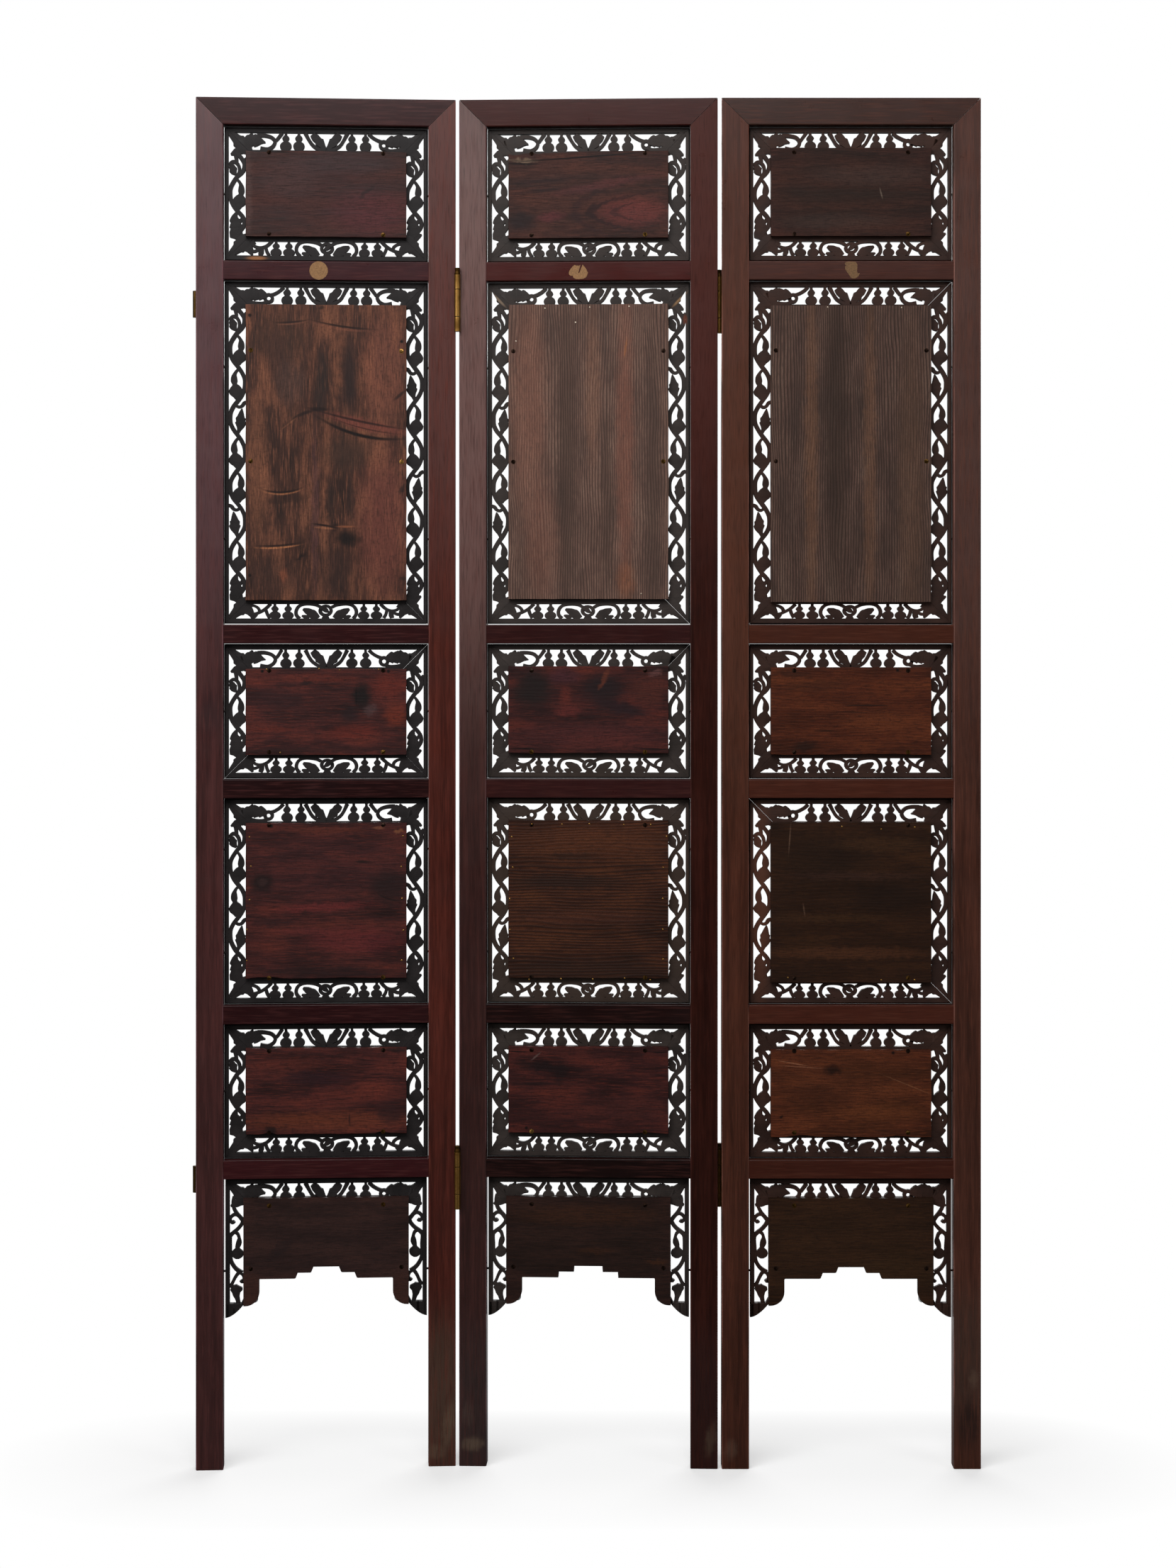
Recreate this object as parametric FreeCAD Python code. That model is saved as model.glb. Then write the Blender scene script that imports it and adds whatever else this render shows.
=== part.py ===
# Three-leaf hardwood folding screen, porcelain plaques set in pierced gourd-and-vine surrounds
# Leaf frame of reference: X along the leaf, Y through it (back face at minus Y), Z up from the floor
import FreeCAD
import Part
import math
import os
from FreeCAD import Placement, Rotation, Vector

# Leaf frame
LEAF_HEIGHT = 1830.0
LEAF_WIDTH = 346.0
LEAF_DEPTH = 28.0
STILE_WIDTH = 36.5
RAIL_HEIGHT = 25.5
RAIL_SET_BACK = 1.0
SMALL_OPENING = 181.0
LARGE_OPENING = 460.0
SQUARE_OPENING = 276.0

# Mortise and tenon joints
TENON_LENGTH = 18.0
TENON_DEPTH = 9.0
TENON_SHOULDER = 4.0
MITRE_TENON_LENGTH = 28.0
MITRE_TENON_HEIGHT = 14.0
JOINT_CLEARANCE = 0.1

# Pierced surrounds
SURROUND_GAP = 2.0
SURROUND_WIDTH = 42.0
SURROUND_DEPTH = 11.0
OUTER_RIM = 4.0
INNER_RIM = 14.0
CORNER_LEAF = 44.0
LEAF_HOLE_START = 16.0
LEAF_HOLE_PEAK = 26.0
LEAF_HOLE_END = 41.0
LEAF_HOLE_RISE = 9.0
GOURD_PITCH = 45.0
GOURD_BODY_RADIUS = 13.0
GOURD_FOOT_RADIUS = 9.0
GOURD_NECK_RADIUS = 5.0
VINE_START = 30.0
VINE_PITCH = 48.0
VINE_STEM = 6.0

# Porcelain plaques and the boards behind them
PLAQUE_THICKNESS = 5.0
PLAQUE_LAP = 5.0
PLAQUE_CLEARANCE = 0.5
BOARD_THICKNESS = 8.0
BOARD_RECESS = 4.0
BOARD_LAP = 15.0
BOARD_END_SET_BACK = 3.0

# Apron under the lowest rail
APRON_DROP = 187.0
APRON_CURVE_RISE = 17.0
APRON_CURVE_BULGE = 3.8
APRON_BOARD_LAP = 18.0
APRON_BOARD_DROP = 134.0
APRON_LOBE_DROP = 36.0
APRON_LOBE_WIDTH = 21.5
APRON_STEP_RISE = 7.8
APRON_STEP_HALF = 40.0
APRON_ARCH_HALF = 19.2
APRON_LOBE_ROUNDING = 0.88
APRON_PLAQUE_TRIM = 2.0

# Screws and pegs
SCREW_SIDES = 5
SCREW_HEAD_RADIUS = 3.2
SCREW_SHANK_RADIUS = 1.6
SCREW_HEAD_HEIGHT = 2.4
SCREW_LENGTH = 16.0
SCREW_INSET = 7.0
SCREW_SPREAD = 76.0
LARGE_SCREW_RISE = 136.0
LARGE_SCREW_DROP = 12.0
APRON_SCREW_RISE = 14.0
APRON_PEG_RISE = 9.0
PEG_SIZE = 3.0
PEG_IN_STILE = 8.0
PEG_IN_RIM = 3.0

# Butt hinges
LEAF_GAP = 4.0
HINGE_HEIGHT = 76.2
HINGE_REACH = 22.0
HINGE_PLATE = 2.0
HINGE_CLEARANCE = 0.35
UPPER_HINGE_DROP = 273.0
LOWER_HINGE_RISE = 383.0
MIDDLE_KNUCKLE = 37.0
KNUCKLE_SIDES = 9
KNUCKLE_GAP = 0.3
PIN_RADIUS = 2.0
PIN_CLEARANCE = 0.05
PIN_HEAD_HEIGHT = 9.0
HINGE_SCREW_SPACING = 50.0

# Turn of each leaf in plan, degrees
LEFT_TURN = 3.8
MIDDLE_TURN = -2.55
RIGHT_TURN = 0.0

# Values that follow from the sizes above
half_leaf = LEAF_WIDTH / 2
half_depth = LEAF_DEPTH / 2
half_opening = half_leaf - STILE_WIDTH
half_surround = half_opening - SURROUND_GAP
half_rail_depth = half_depth - RAIL_SET_BACK
band_start = OUTER_RIM
band_end = SURROUND_WIDTH - INNER_RIM
board_back = -half_depth + BOARD_RECESS
surround_back = board_back + BOARD_THICKNESS
surround_front = surround_back + SURROUND_DEPTH
plaque_front = surround_back + PLAQUE_THICKNESS
board_edge = SURROUND_WIDTH - BOARD_LAP
board_end_edge = board_edge + BOARD_END_SET_BACK
apron_board_edge = SURROUND_WIDTH - APRON_BOARD_LAP
rabbet_edge = SURROUND_WIDTH - PLAQUE_LAP
plaque_edge = rabbet_edge + PLAQUE_CLEARANCE
knuckle_radius = LEAF_GAP / 2 + HINGE_PLATE
pin_proud = math.sqrt((knuckle_radius + HINGE_CLEARANCE) ** 2 - (LEAF_GAP / 2) ** 2)
bore_radius = PIN_RADIUS + PIN_CLEARANCE
pin_x = half_leaf + LEAF_GAP / 2
pin_y = -half_depth - pin_proud
hinge_heights = [LEAF_HEIGHT - UPPER_HINGE_DROP, LOWER_HINGE_RISE]

# Openings from the top down, each with a rail under it
sections = []
level = LEAF_HEIGHT - STILE_WIDTH
for section_name, section_height in [
    ("upper", SMALL_OPENING),
    ("large", LARGE_OPENING),
    ("middle", SMALL_OPENING),
    ("square", SQUARE_OPENING),
    ("lower", SMALL_OPENING),
]:
    sections.append((section_name, level - section_height, level))
    level -= section_height + RAIL_HEIGHT
apron_top = level


def block(x0, x1, y0, y1, z0, z1):
    """Box between two corners."""
    return Part.makeBox(x1 - x0, y1 - y0, z1 - z0, Vector(x0, y0, z0))


def outline(points, y):
    """Closed wire through (x, z) points; a three-point arc where a tuple holds a middle point too."""
    edges = []
    start = Vector(points[0][0], y, points[0][1])
    first = start
    for point in points[1:] + [points[0]]:
        end = Vector(point[0], y, point[1])
        if len(point) > 2 and point is not points[0]:
            middle = Vector(point[2], y, point[3])
            edges.append(Part.Arc(start, middle, end).toShape())
        else:
            edges.append(Part.makeLine(start, first if point is points[0] else end))
        start = end
    return Part.Wire(edges)


def prism(points, holes, y0, y1):
    """Plate cut to an outline, with holes, between two depths."""
    wires = [outline(points, y0)] + [outline(hole, y0) for hole in holes]
    face = Part.makeFace(wires, "Part::FaceMakerBullseye")
    return face.extrude(Vector(0, y1 - y0, 0))


def mirrored(shape, left, front):
    """Right-edge, back-face shape carried to the left edge, the front face or both."""
    if left:
        shape = shape.mirror(Vector(0, 0, 0), Vector(1, 0, 0))
    if front:
        shape = shape.mirror(Vector(0, 0, 0), Vector(0, 1, 0))
    return shape


def ring(radius, sides, x, y, z):
    """Corners of a regular polygon that lies flat."""
    corners = []
    for side in range(sides):
        angle = 2 * math.pi * side / sides
        corners.append(Vector(x + radius * math.cos(angle), y + radius * math.sin(angle), z))
    return corners


def round_bar(radius, sides, x, y, z0, z1):
    """Upright bar of a few flat sides between two heights."""
    corners = ring(radius, sides, x, y, z0)
    return Part.Face(Part.makePolygon(corners + corners[:1])).extrude(Vector(0, 0, z1 - z0))


def screw(head, direction):
    """Countersunk wood screw driven from a flush head along a direction to its point."""
    rim = ring(SCREW_HEAD_RADIUS, SCREW_SIDES, 0, 0, 0)
    neck = ring(SCREW_SHANK_RADIUS, SCREW_SIDES, 0, 0, SCREW_HEAD_HEIGHT)
    point = Vector(0, 0, SCREW_LENGTH)
    outlines = [rim]
    for i in range(SCREW_SIDES):
        j = i - 1
        outlines.append([rim[i], rim[j], neck[j], neck[i]])
        outlines.append([neck[i], neck[j], point])
    faces = [Part.Face(Part.makePolygon(corners + corners[:1])) for corners in outlines]
    solid = Part.Solid(Part.Shell(faces))
    if solid.Volume < 0:
        solid.reverse()
    solid.Placement = Placement(head, Rotation(Vector(0, 0, 1), direction))
    return solid


def stile(left, hinge_fronts):
    """Full-height stile with blind mortises, a mitred top and a recess for each hinge plate."""
    inner = half_opening
    outer = half_leaf
    post = block(inner, outer, -half_depth, half_depth, 0, LEAF_HEIGHT)
    corner = LEAF_HEIGHT - STILE_WIDTH
    wedge = [
        (inner, corner),
        (outer, LEAF_HEIGHT),
        (outer, LEAF_HEIGHT + STILE_WIDTH),
        (inner - STILE_WIDTH, LEAF_HEIGHT + STILE_WIDTH),
        (inner - STILE_WIDTH, corner - STILE_WIDTH),
    ]
    tools = [prism(wedge, [], -LEAF_DEPTH, LEAF_DEPTH), mitre_tenon(JOINT_CLEARANCE)]
    for name, z0, z1 in sections:
        tools.append(tenon(z0 - RAIL_HEIGHT, JOINT_CLEARANCE))
    for front in hinge_fronts:
        for height in hinge_heights:
            tools.append(mirrored(hinge_recess(height), False, front))
    return mirrored(post.cut(tools), left, False)


def tenon(z0, clearance):
    """Right-hand tenon of a cross rail, or its mortise when a clearance is given."""
    return block(
        half_opening - clearance,
        half_opening + TENON_LENGTH + clearance,
        -TENON_DEPTH / 2 - clearance,
        TENON_DEPTH / 2 + clearance,
        z0 + TENON_SHOULDER - clearance,
        z0 + RAIL_HEIGHT - TENON_SHOULDER + clearance,
    )


def mitre_tenon(clearance):
    """Right-hand tenon of the mitred top corner, or its mortise when a clearance is given."""
    corner = LEAF_HEIGHT - STILE_WIDTH + TENON_SHOULDER
    return block(
        half_opening,
        half_opening + MITRE_TENON_LENGTH + clearance,
        -TENON_DEPTH / 2 - clearance,
        TENON_DEPTH / 2 + clearance,
        corner - clearance,
        corner + MITRE_TENON_HEIGHT + clearance,
    )


def top_rail():
    """Top rail mitred to both stiles at 45 degrees."""
    corner = LEAF_HEIGHT - STILE_WIDTH
    face = [
        (-half_opening, corner),
        (half_opening, corner),
        (half_leaf, LEAF_HEIGHT),
        (-half_leaf, LEAF_HEIGHT),
    ]
    bar = prism(face, [], -half_depth, half_depth)
    ends = [mirrored(mitre_tenon(0), left, False) for left in (False, True)]
    return bar.multiFuse(ends).removeSplitter()


def cross_rail(z0):
    """Cross rail with a tenon at each end."""
    bar = block(-half_opening, half_opening, -half_rail_depth, half_rail_depth, z0, z0 + RAIL_HEIGHT)
    ends = [mirrored(tenon(z0, 0), left, False) for left in (False, True)]
    return bar.multiFuse(ends).removeSplitter()


def gourd_slots(length, feet_inside):
    """Openings between a row of standing gourds, as (along, across) points."""
    clear = length - 2 * CORNER_LEAF
    count = max(1, round(clear / GOURD_PITCH))
    half_pitch = clear / count / 2
    middle = (band_start + band_end) / 2
    foot, neck = (band_end, band_start) if feet_inside else (band_start, band_end)
    body = (foot + middle) / 2
    slots = []
    for i in range(count):
        centre = CORNER_LEAF + half_pitch * (2 * i + 1)
        left_side = []
        right_side = []
        outline = [(GOURD_FOOT_RADIUS, foot), (GOURD_BODY_RADIUS, body), (GOURD_NECK_RADIUS, neck)]
        for radius, across in outline:
            left_side.append((centre - half_pitch + radius, across))
            right_side.insert(0, (centre + half_pitch - radius, across))
        slots.append(left_side + right_side)
    return slots


def vine_holes(start, end):
    """Openings either side of a winding stem, as (along, across) points."""
    count = max(2, round((end - start) / VINE_PITCH))
    pitch = (end - start) / count
    holes = []
    for i in range(1, count):
        centre = start + pitch * i
        wide, narrow = (band_start, band_end) if i % 2 else (band_end, band_start)
        reach = pitch - VINE_STEM
        holes.append([(centre - reach, wide), (centre + reach, wide), (centre, narrow)])
    return holes


def row_holes(length, feet_inside):
    """Openings of a level strip: one beside each corner leaf and those between the gourds."""
    near = [
        (LEAF_HOLE_START, band_start),
        (LEAF_HOLE_END, band_start),
        (LEAF_HOLE_PEAK, band_start + LEAF_HOLE_RISE),
    ]
    far = [(length - along, across) for along, across in near]
    return [near, far] + gourd_slots(length, feet_inside)


def member(plan, holes, where, seat):
    """One strip of a surround, carried from its plan to its side of the opening and rebated."""
    strip = prism(
        [where(*point) for point in plan],
        [[where(*point) for point in hole] for hole in holes],
        surround_back,
        surround_front,
    )
    return strip.cut(seat)


def sides(z0, z1):
    """Plan-to-leaf mapping for the bottom, top, left and right strip of a surround."""
    return {
        "bottom": lambda u, v: (-half_surround + u, z0 + v),
        "top": lambda u, v: (half_surround - u, z1 - v),
        "left": lambda u, v: (-half_surround + v, z1 - u),
        "right": lambda u, v: (half_surround - v, z0 + u),
    }


def surround(z0, z1):
    """Four mitred pierced strips round one opening."""
    low = z0 + SURROUND_GAP
    high = z1 - SURROUND_GAP
    seat_half = half_surround - rabbet_edge
    seat = block(-seat_half, seat_half, surround_back, plaque_front, low + rabbet_edge, high - rabbet_edge)
    strips = []
    for side, where in sides(low, high).items():
        upright = side in ("left", "right")
        length = high - low if upright else 2 * half_surround
        plan = [
            (0, 0),
            (length, 0),
            (length - SURROUND_WIDTH, SURROUND_WIDTH),
            (SURROUND_WIDTH, SURROUND_WIDTH),
        ]
        if upright:
            holes = vine_holes(VINE_START, length - VINE_START)
        else:
            holes = row_holes(length, side == "top")
        strips.append(member(plan, holes, where, seat))
    return strips


def apron_surround():
    """Pierced strip under the lowest rail and a pierced bracket down each stile."""
    high = apron_top - SURROUND_GAP
    drop = APRON_DROP - SURROUND_GAP
    low = high - drop
    seat_half = half_surround - rabbet_edge
    seat = block(-seat_half, seat_half, surround_back, plaque_front, low, high - rabbet_edge)
    where = sides(low, high)
    length = 2 * half_surround
    top_plan = [
        (0, 0),
        (length, 0),
        (length - SURROUND_WIDTH, SURROUND_WIDTH),
        (SURROUND_WIDTH, SURROUND_WIDTH),
    ]
    curve_end = drop - APRON_CURVE_RISE
    strips = [member(top_plan, row_holes(length, True), where["top"], seat)]
    left = where["left"]
    tip = left(drop, 0)
    bulge = left(drop - APRON_CURVE_RISE / 2 + APRON_CURVE_BULGE, apron_board_edge / 2)
    plan = [
        left(0, 0),
        left(SURROUND_WIDTH, SURROUND_WIDTH),
        left(curve_end, SURROUND_WIDTH),
        left(curve_end, apron_board_edge),
        tip + bulge,
    ]
    holes = [[left(*point) for point in hole] for hole in vine_holes(VINE_START, curve_end - VINE_STEM)]
    bracket = prism(plan, holes, surround_back, surround_front).cut(seat)
    strips.append(bracket)
    strips.append(mirrored(bracket, True, False))
    return strips


def panel(z0, z1, edge, end_edge, y0, y1):
    """Flat panel inside one opening, set in from the surround's outside at its sides and at its ends."""
    half = half_surround - edge
    return block(-half, half, y0, y1, z0 + SURROUND_GAP + end_edge, z1 - SURROUND_GAP - end_edge)


def apron_panel(edge, trim, y0, y1):
    """Apron panel with a stepped arch between two rounded lobes, its lower edge trimmed back."""
    half = half_surround - edge
    high = apron_top - SURROUND_GAP - edge
    straight = apron_top - APRON_BOARD_DROP + trim
    step = straight + APRON_STEP_RISE
    arch = step + APRON_STEP_RISE
    low = straight - APRON_LOBE_DROP
    lobe = half_surround - apron_board_edge - APRON_LOBE_WIDTH + trim
    radius = (half - lobe) * APRON_LOBE_ROUNDING
    swing = radius * (1 - math.sqrt(1 / 2))
    right = [
        (half, high),
        (half, low),
        (lobe + radius, low),
        (lobe, low + radius, lobe + swing, low + swing),
        (lobe, straight),
        (APRON_STEP_HALF, straight),
        (APRON_STEP_HALF, step),
        (APRON_ARCH_HALF, step),
        (APRON_ARCH_HALF, arch),
    ]
    left = [
        (-APRON_ARCH_HALF, arch),
        (-APRON_ARCH_HALF, step),
        (-APRON_STEP_HALF, step),
        (-APRON_STEP_HALF, straight),
        (-lobe, straight),
        (-lobe, low + radius),
        (-lobe - radius, low, -lobe - swing, low + swing),
        (-half, low),
        (-half, high),
    ]
    return prism(right + left, [], y0, y1)


def board_screws():
    """Four screws in every backing board: up the sides of the large one, else along its top and foot."""
    edge = half_surround - board_edge - SCREW_INSET
    inset = SURROUND_GAP + board_edge + SCREW_INSET
    rows = [(SCREW_SPREAD, apron_top - inset), (edge, apron_top - APRON_BOARD_DROP + APRON_SCREW_RISE)]
    for name, z0, z1 in sections:
        if name == "large":
            middle = (z0 + z1) / 2
            rows += [(edge, middle - LARGE_SCREW_DROP), (edge, middle + LARGE_SCREW_RISE)]
        else:
            rows += [(SCREW_SPREAD, z0 + inset), (SCREW_SPREAD, z1 - inset)]
    return [screw(Vector(side * x, board_back, z), Vector(0, 1, 0)) for x, z in rows for side in (-1, 1)]


def pegs():
    """Square pegs that hold each surround to the stiles, one a side or two in a tall opening."""
    middle = (surround_back + surround_front) / 2
    rows = [apron_top - APRON_BOARD_DROP + APRON_PEG_RISE]
    for name, z0, z1 in sections:
        if name in ("large", "square"):
            quarter = (z1 - z0) / 4
            rows += [z0 + quarter, z1 - quarter]
        else:
            rows.append((z0 + z1) / 2)
    found = []
    for z in rows:
        peg = block(
            half_surround - PEG_IN_RIM,
            half_opening + PEG_IN_STILE,
            middle - PEG_SIZE / 2,
            middle + PEG_SIZE / 2,
            z - PEG_SIZE / 2,
            z + PEG_SIZE / 2,
        )
        found += [peg, mirrored(peg, True, False)]
    return found


def knuckle_spans(height, middle):
    """Heights of the knuckles that belong to one hinge half."""
    low = height - HINGE_HEIGHT / 2
    high = height + HINGE_HEIGHT / 2
    inner = MIDDLE_KNUCKLE / 2
    if middle:
        return [(height - inner + KNUCKLE_GAP, height + inner - KNUCKLE_GAP)]
    return [(low, height - inner), (height + inner, high)]


def hinge_half(height, middle, bore):
    """Plate let into the right edge, rolled into its knuckles at the back face."""
    low = height - HINGE_HEIGHT / 2
    high = height + HINGE_HEIGHT / 2
    plate = block(half_leaf - HINGE_PLATE, half_leaf, -half_depth, -half_depth + HINGE_REACH, low, high)
    rolled = []
    for z0, z1 in knuckle_spans(height, middle):
        rolled.append(block(half_leaf - HINGE_PLATE, half_leaf, pin_y, -half_depth, z0, z1))
        rolled.append(round_bar(knuckle_radius, KNUCKLE_SIDES, pin_x, pin_y, z0, z1))
    return plate.multiFuse(rolled).removeSplitter().cut(bore(low, high))


def pinned_bore(low, high):
    """Bore round a fitted pin, its flats a running clearance away."""
    reach = bore_radius / math.cos(math.pi / KNUCKLE_SIDES)
    return round_bar(reach, KNUCKLE_SIDES, pin_x, pin_y, low, high)


def open_bore(low, high):
    """Round bore of a knuckle that waits for a pin."""
    return Part.makeCylinder(bore_radius, high - low, Vector(pin_x, pin_y, low))


def hinge_recess(height):
    """Recess in the right edge of a stile for one hinge plate."""
    return block(
        half_leaf - HINGE_PLATE,
        half_leaf + HINGE_PLATE,
        -LEAF_DEPTH,
        -half_depth + HINGE_REACH + JOINT_CLEARANCE,
        height - HINGE_HEIGHT / 2 - JOINT_CLEARANCE,
        height + HINGE_HEIGHT / 2 + JOINT_CLEARANCE,
    )


def hinge_screws(height):
    """Screws through one hinge plate into the edge of the stile."""
    depth = -half_depth + HINGE_REACH / 2
    rows = [height - HINGE_SCREW_SPACING / 2, height + HINGE_SCREW_SPACING / 2]
    return [screw(Vector(half_leaf, depth, z), Vector(-1, 0, 0)) for z in rows]


def hinge_pin(height):
    """Pin through the knuckles with a button head on top."""
    low = height - HINGE_HEIGHT / 2
    high = height + HINGE_HEIGHT / 2
    shaft = round_bar(PIN_RADIUS, KNUCKLE_SIDES, pin_x, pin_y, low, high)
    head = round_bar(knuckle_radius, KNUCKLE_SIDES, pin_x, pin_y, high, high + PIN_HEAD_HEIGHT)
    return shaft.fuse(head)


def hinge_set(make, left, front):
    """The same hinge piece at both heights, on one edge and face of a leaf."""
    return [mirrored(make(height), left, front) for height in hinge_heights]


def hinge_screw_set(left, front):
    """Screws of both hinge plates on one edge and face of a leaf."""
    return [mirrored(part, left, front) for height in hinge_heights for part in hinge_screws(height)]


def middle_half(height):
    """Hinge half that carries the long middle knuckle."""
    return hinge_half(height, True, pinned_bore)


def open_half(height):
    """Middle-knuckle half with no mate, left on an outer edge."""
    return hinge_half(height, True, open_bore)


def end_half(height):
    """Hinge half that carries the two end knuckles."""
    return hinge_half(height, False, pinned_bore)


def shared_pieces():
    """Pieces that are alike on all three leaves."""
    pieces = {
        "top_rail": [top_rail()],
        "cross_rails": [cross_rail(z0 - RAIL_HEIGHT) for name, z0, z1 in sections],
        "apron_surround": apron_surround(),
        "apron_board": [apron_panel(apron_board_edge, 0, board_back, surround_back)],
        "small_boards": [],
        "plaques": [apron_panel(plaque_edge, APRON_PLAQUE_TRIM, surround_back, plaque_front)],
        "board_screws": board_screws(),
        "pegs": pegs(),
    }
    for name, z0, z1 in sections:
        pieces[name + "_surround"] = surround(z0, z1)
        board = panel(z0, z1, board_edge, board_end_edge, board_back, surround_back)
        pieces["plaques"].append(panel(z0, z1, plaque_edge, plaque_edge, surround_back, plaque_front))
        if name in ("large", "square"):
            pieces[name + "_board"] = [board]
        else:
            pieces["small_boards"].append(board)
    return pieces


def leaf_placement(turn, pin, other, other_pin):
    """Placement that turns a leaf and brings its pin line onto that of a placed leaf."""
    rotation = Rotation(Vector(0, 0, 1), turn)
    target = other.multVec(Vector(*other_pin))
    return Placement(target - rotation.multVec(Vector(*pin)), rotation)


shared = shared_pieces()
middle_place = Placement(Vector(0, 0, 0), Rotation(Vector(0, 0, 1), MIDDLE_TURN))
places = {
    "left": leaf_placement(LEFT_TURN, (pin_x, pin_y, 0), middle_place, (-pin_x, pin_y, 0)),
    "middle": middle_place,
    "right": leaf_placement(RIGHT_TURN, (-pin_x, -pin_y, 0), middle_place, (pin_x, -pin_y, 0)),
}
own = {
    "left": {
        "left_stile": [stile(True, [True])],
        "right_stile": [stile(False, [False])],
        "hinge_plates": hinge_set(middle_half, False, False),
        "outer_hinge_halves": hinge_set(open_half, True, True),
        "hinge_screws": hinge_screw_set(False, False) + hinge_screw_set(True, True),
    },
    "middle": {
        "left_stile": [stile(True, [False])],
        "right_stile": [stile(False, [True])],
        "hinge_plates": hinge_set(end_half, True, False) + hinge_set(end_half, False, True),
        "hinge_pins": hinge_set(hinge_pin, True, False) + hinge_set(hinge_pin, False, True),
        "hinge_screws": hinge_screw_set(True, False) + hinge_screw_set(False, True),
    },
    "right": {
        "left_stile": [stile(True, [True])],
        "right_stile": [stile(False, [])],
        "hinge_plates": hinge_set(middle_half, True, True),
        "hinge_screws": hinge_screw_set(True, True),
    },
}

# Every piece in the screen's standing position
nodes = {}
for side, place in places.items():
    for piece, solids in list(shared.items()) + list(own[side].items()):
        group = Part.makeCompound([solid.copy() for solid in solids])
        group.Placement = place
        nodes[side + "_" + piece] = group

# Origin on the floor under the middle of the whole screen
whole = Part.makeCompound(list(nodes.values())).optimalBoundingBox(False)
to_origin = Vector(-whole.Center.x, -whole.Center.y, 0)
os.makedirs("parts", exist_ok=True)
for name, group in nodes.items():
    group.translate(to_origin)
    group.exportStep("parts/" + name + ".step")
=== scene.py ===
"""Visual model of a folding screen: porcelain plaques in carved surrounds and a hardwood frame."""

import math
import random

import bmesh
import bpy
from bpy.props import FloatProperty, FloatVectorProperty, PointerProperty
from mathutils import Matrix, Vector, noise


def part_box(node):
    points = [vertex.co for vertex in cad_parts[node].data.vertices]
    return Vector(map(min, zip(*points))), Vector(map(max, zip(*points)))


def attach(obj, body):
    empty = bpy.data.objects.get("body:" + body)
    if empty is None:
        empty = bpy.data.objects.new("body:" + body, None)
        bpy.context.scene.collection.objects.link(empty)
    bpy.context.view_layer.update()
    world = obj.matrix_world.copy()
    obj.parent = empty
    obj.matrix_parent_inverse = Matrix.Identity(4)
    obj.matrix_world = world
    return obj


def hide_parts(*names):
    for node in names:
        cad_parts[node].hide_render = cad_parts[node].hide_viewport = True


bl_info = {
    "name": "Porcelain Inset Folding Screen",
    "version": (1, 0, 0),
    "blender": (4, 5, 0),
    "location": "View3D > Sidebar > Screen",
    "description": "Builds the visual model of a three-leaf folding screen over its CAD frame",
    "category": "Object",
}

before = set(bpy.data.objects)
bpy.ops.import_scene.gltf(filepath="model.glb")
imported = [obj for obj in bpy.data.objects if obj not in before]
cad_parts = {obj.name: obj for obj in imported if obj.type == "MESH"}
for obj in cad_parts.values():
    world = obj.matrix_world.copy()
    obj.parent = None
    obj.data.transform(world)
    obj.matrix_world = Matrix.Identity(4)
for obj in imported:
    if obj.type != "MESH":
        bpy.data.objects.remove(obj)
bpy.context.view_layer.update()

MM = 0.001
# Half of the open line at the mitred corners of a frame, in millimetres
MITRE_LINE = 0.35
SIDES = ("left", "middle", "right")
SECTIONS = ("upper", "large", "middle", "square", "lower")


def linear(code):
    """sRGB hex code as a linear colour with full alpha."""
    channels = [int(code[i : i + 2], 16) / 255 for i in (0, 2, 4)]
    return [c / 12.92 if c <= 0.04045 else ((c + 0.055) / 1.055) ** 2.4 for c in channels] + [1.0]


def box_mm(node):
    """Lowest and highest corner of a CAD node in millimetres."""
    return [Vector(corner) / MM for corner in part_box(node)]


def leaf_frame(side):
    """Placement of a leaf's own axes, in metres from the middle of its foot, in the screen."""
    stiles = [box_mm(f"{side}_{edge}_stile") for edge in ("left", "right")]
    left, right = [(low + high) / 2 for low, high in stiles]
    across = right - left
    middle = (left + right) / 2 * MM
    turn = Matrix.Rotation(math.atan2(across.y, across.x), 4, "Z")
    return Matrix.Translation((middle.x, middle.y, 0)) @ turn


# Sizes in millimetres, read from the right leaf, which stands square to the axes
STILE_LOW, STILE_HIGH = box_mm("right_right_stile")
LEAF_MIDDLE = leaf_frame("right").translation / MM
HALF_LEAF = STILE_HIGH.x - LEAF_MIDDLE.x
HALF_OPENING = STILE_LOW.x - LEAF_MIDDLE.x
STILE_WIDTH = HALF_LEAF - HALF_OPENING
HALF_DEPTH = (STILE_HIGH.y - STILE_LOW.y) / 2
HEIGHT = STILE_HIGH.z
SURROUND_LOW, SURROUND_HIGH = box_mm("right_large_surround")
HALF_SURROUND = (SURROUND_HIGH.x - SURROUND_LOW.x) / 2
SURROUND_BACK = SURROUND_LOW.y - LEAF_MIDDLE.y
SURROUND_DEPTH = SURROUND_HIGH.y - SURROUND_LOW.y
BOARD_LOW, _ = box_mm("right_large_board")
BOARD_BACK = BOARD_LOW.y - LEAF_MIDDLE.y
BOARD_EDGE = BOARD_LOW.x - SURROUND_LOW.x
RAILS_LOW, RAILS_HIGH = box_mm("right_cross_rails")
HALF_RAIL_DEPTH = (RAILS_HIGH.y - RAILS_LOW.y) / 2
PLAQUES_LOW, PLAQUES_HIGH = box_mm("right_plaques")
PLAQUE_FRONT = PLAQUES_HIGH.y - LEAF_MIDDLE.y
HALF_PLAQUE = (PLAQUES_HIGH.x - PLAQUES_LOW.x) / 2
APRON_BOARD_LOW, APRON_BOARD_HIGH = box_mm("right_apron_board")
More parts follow.
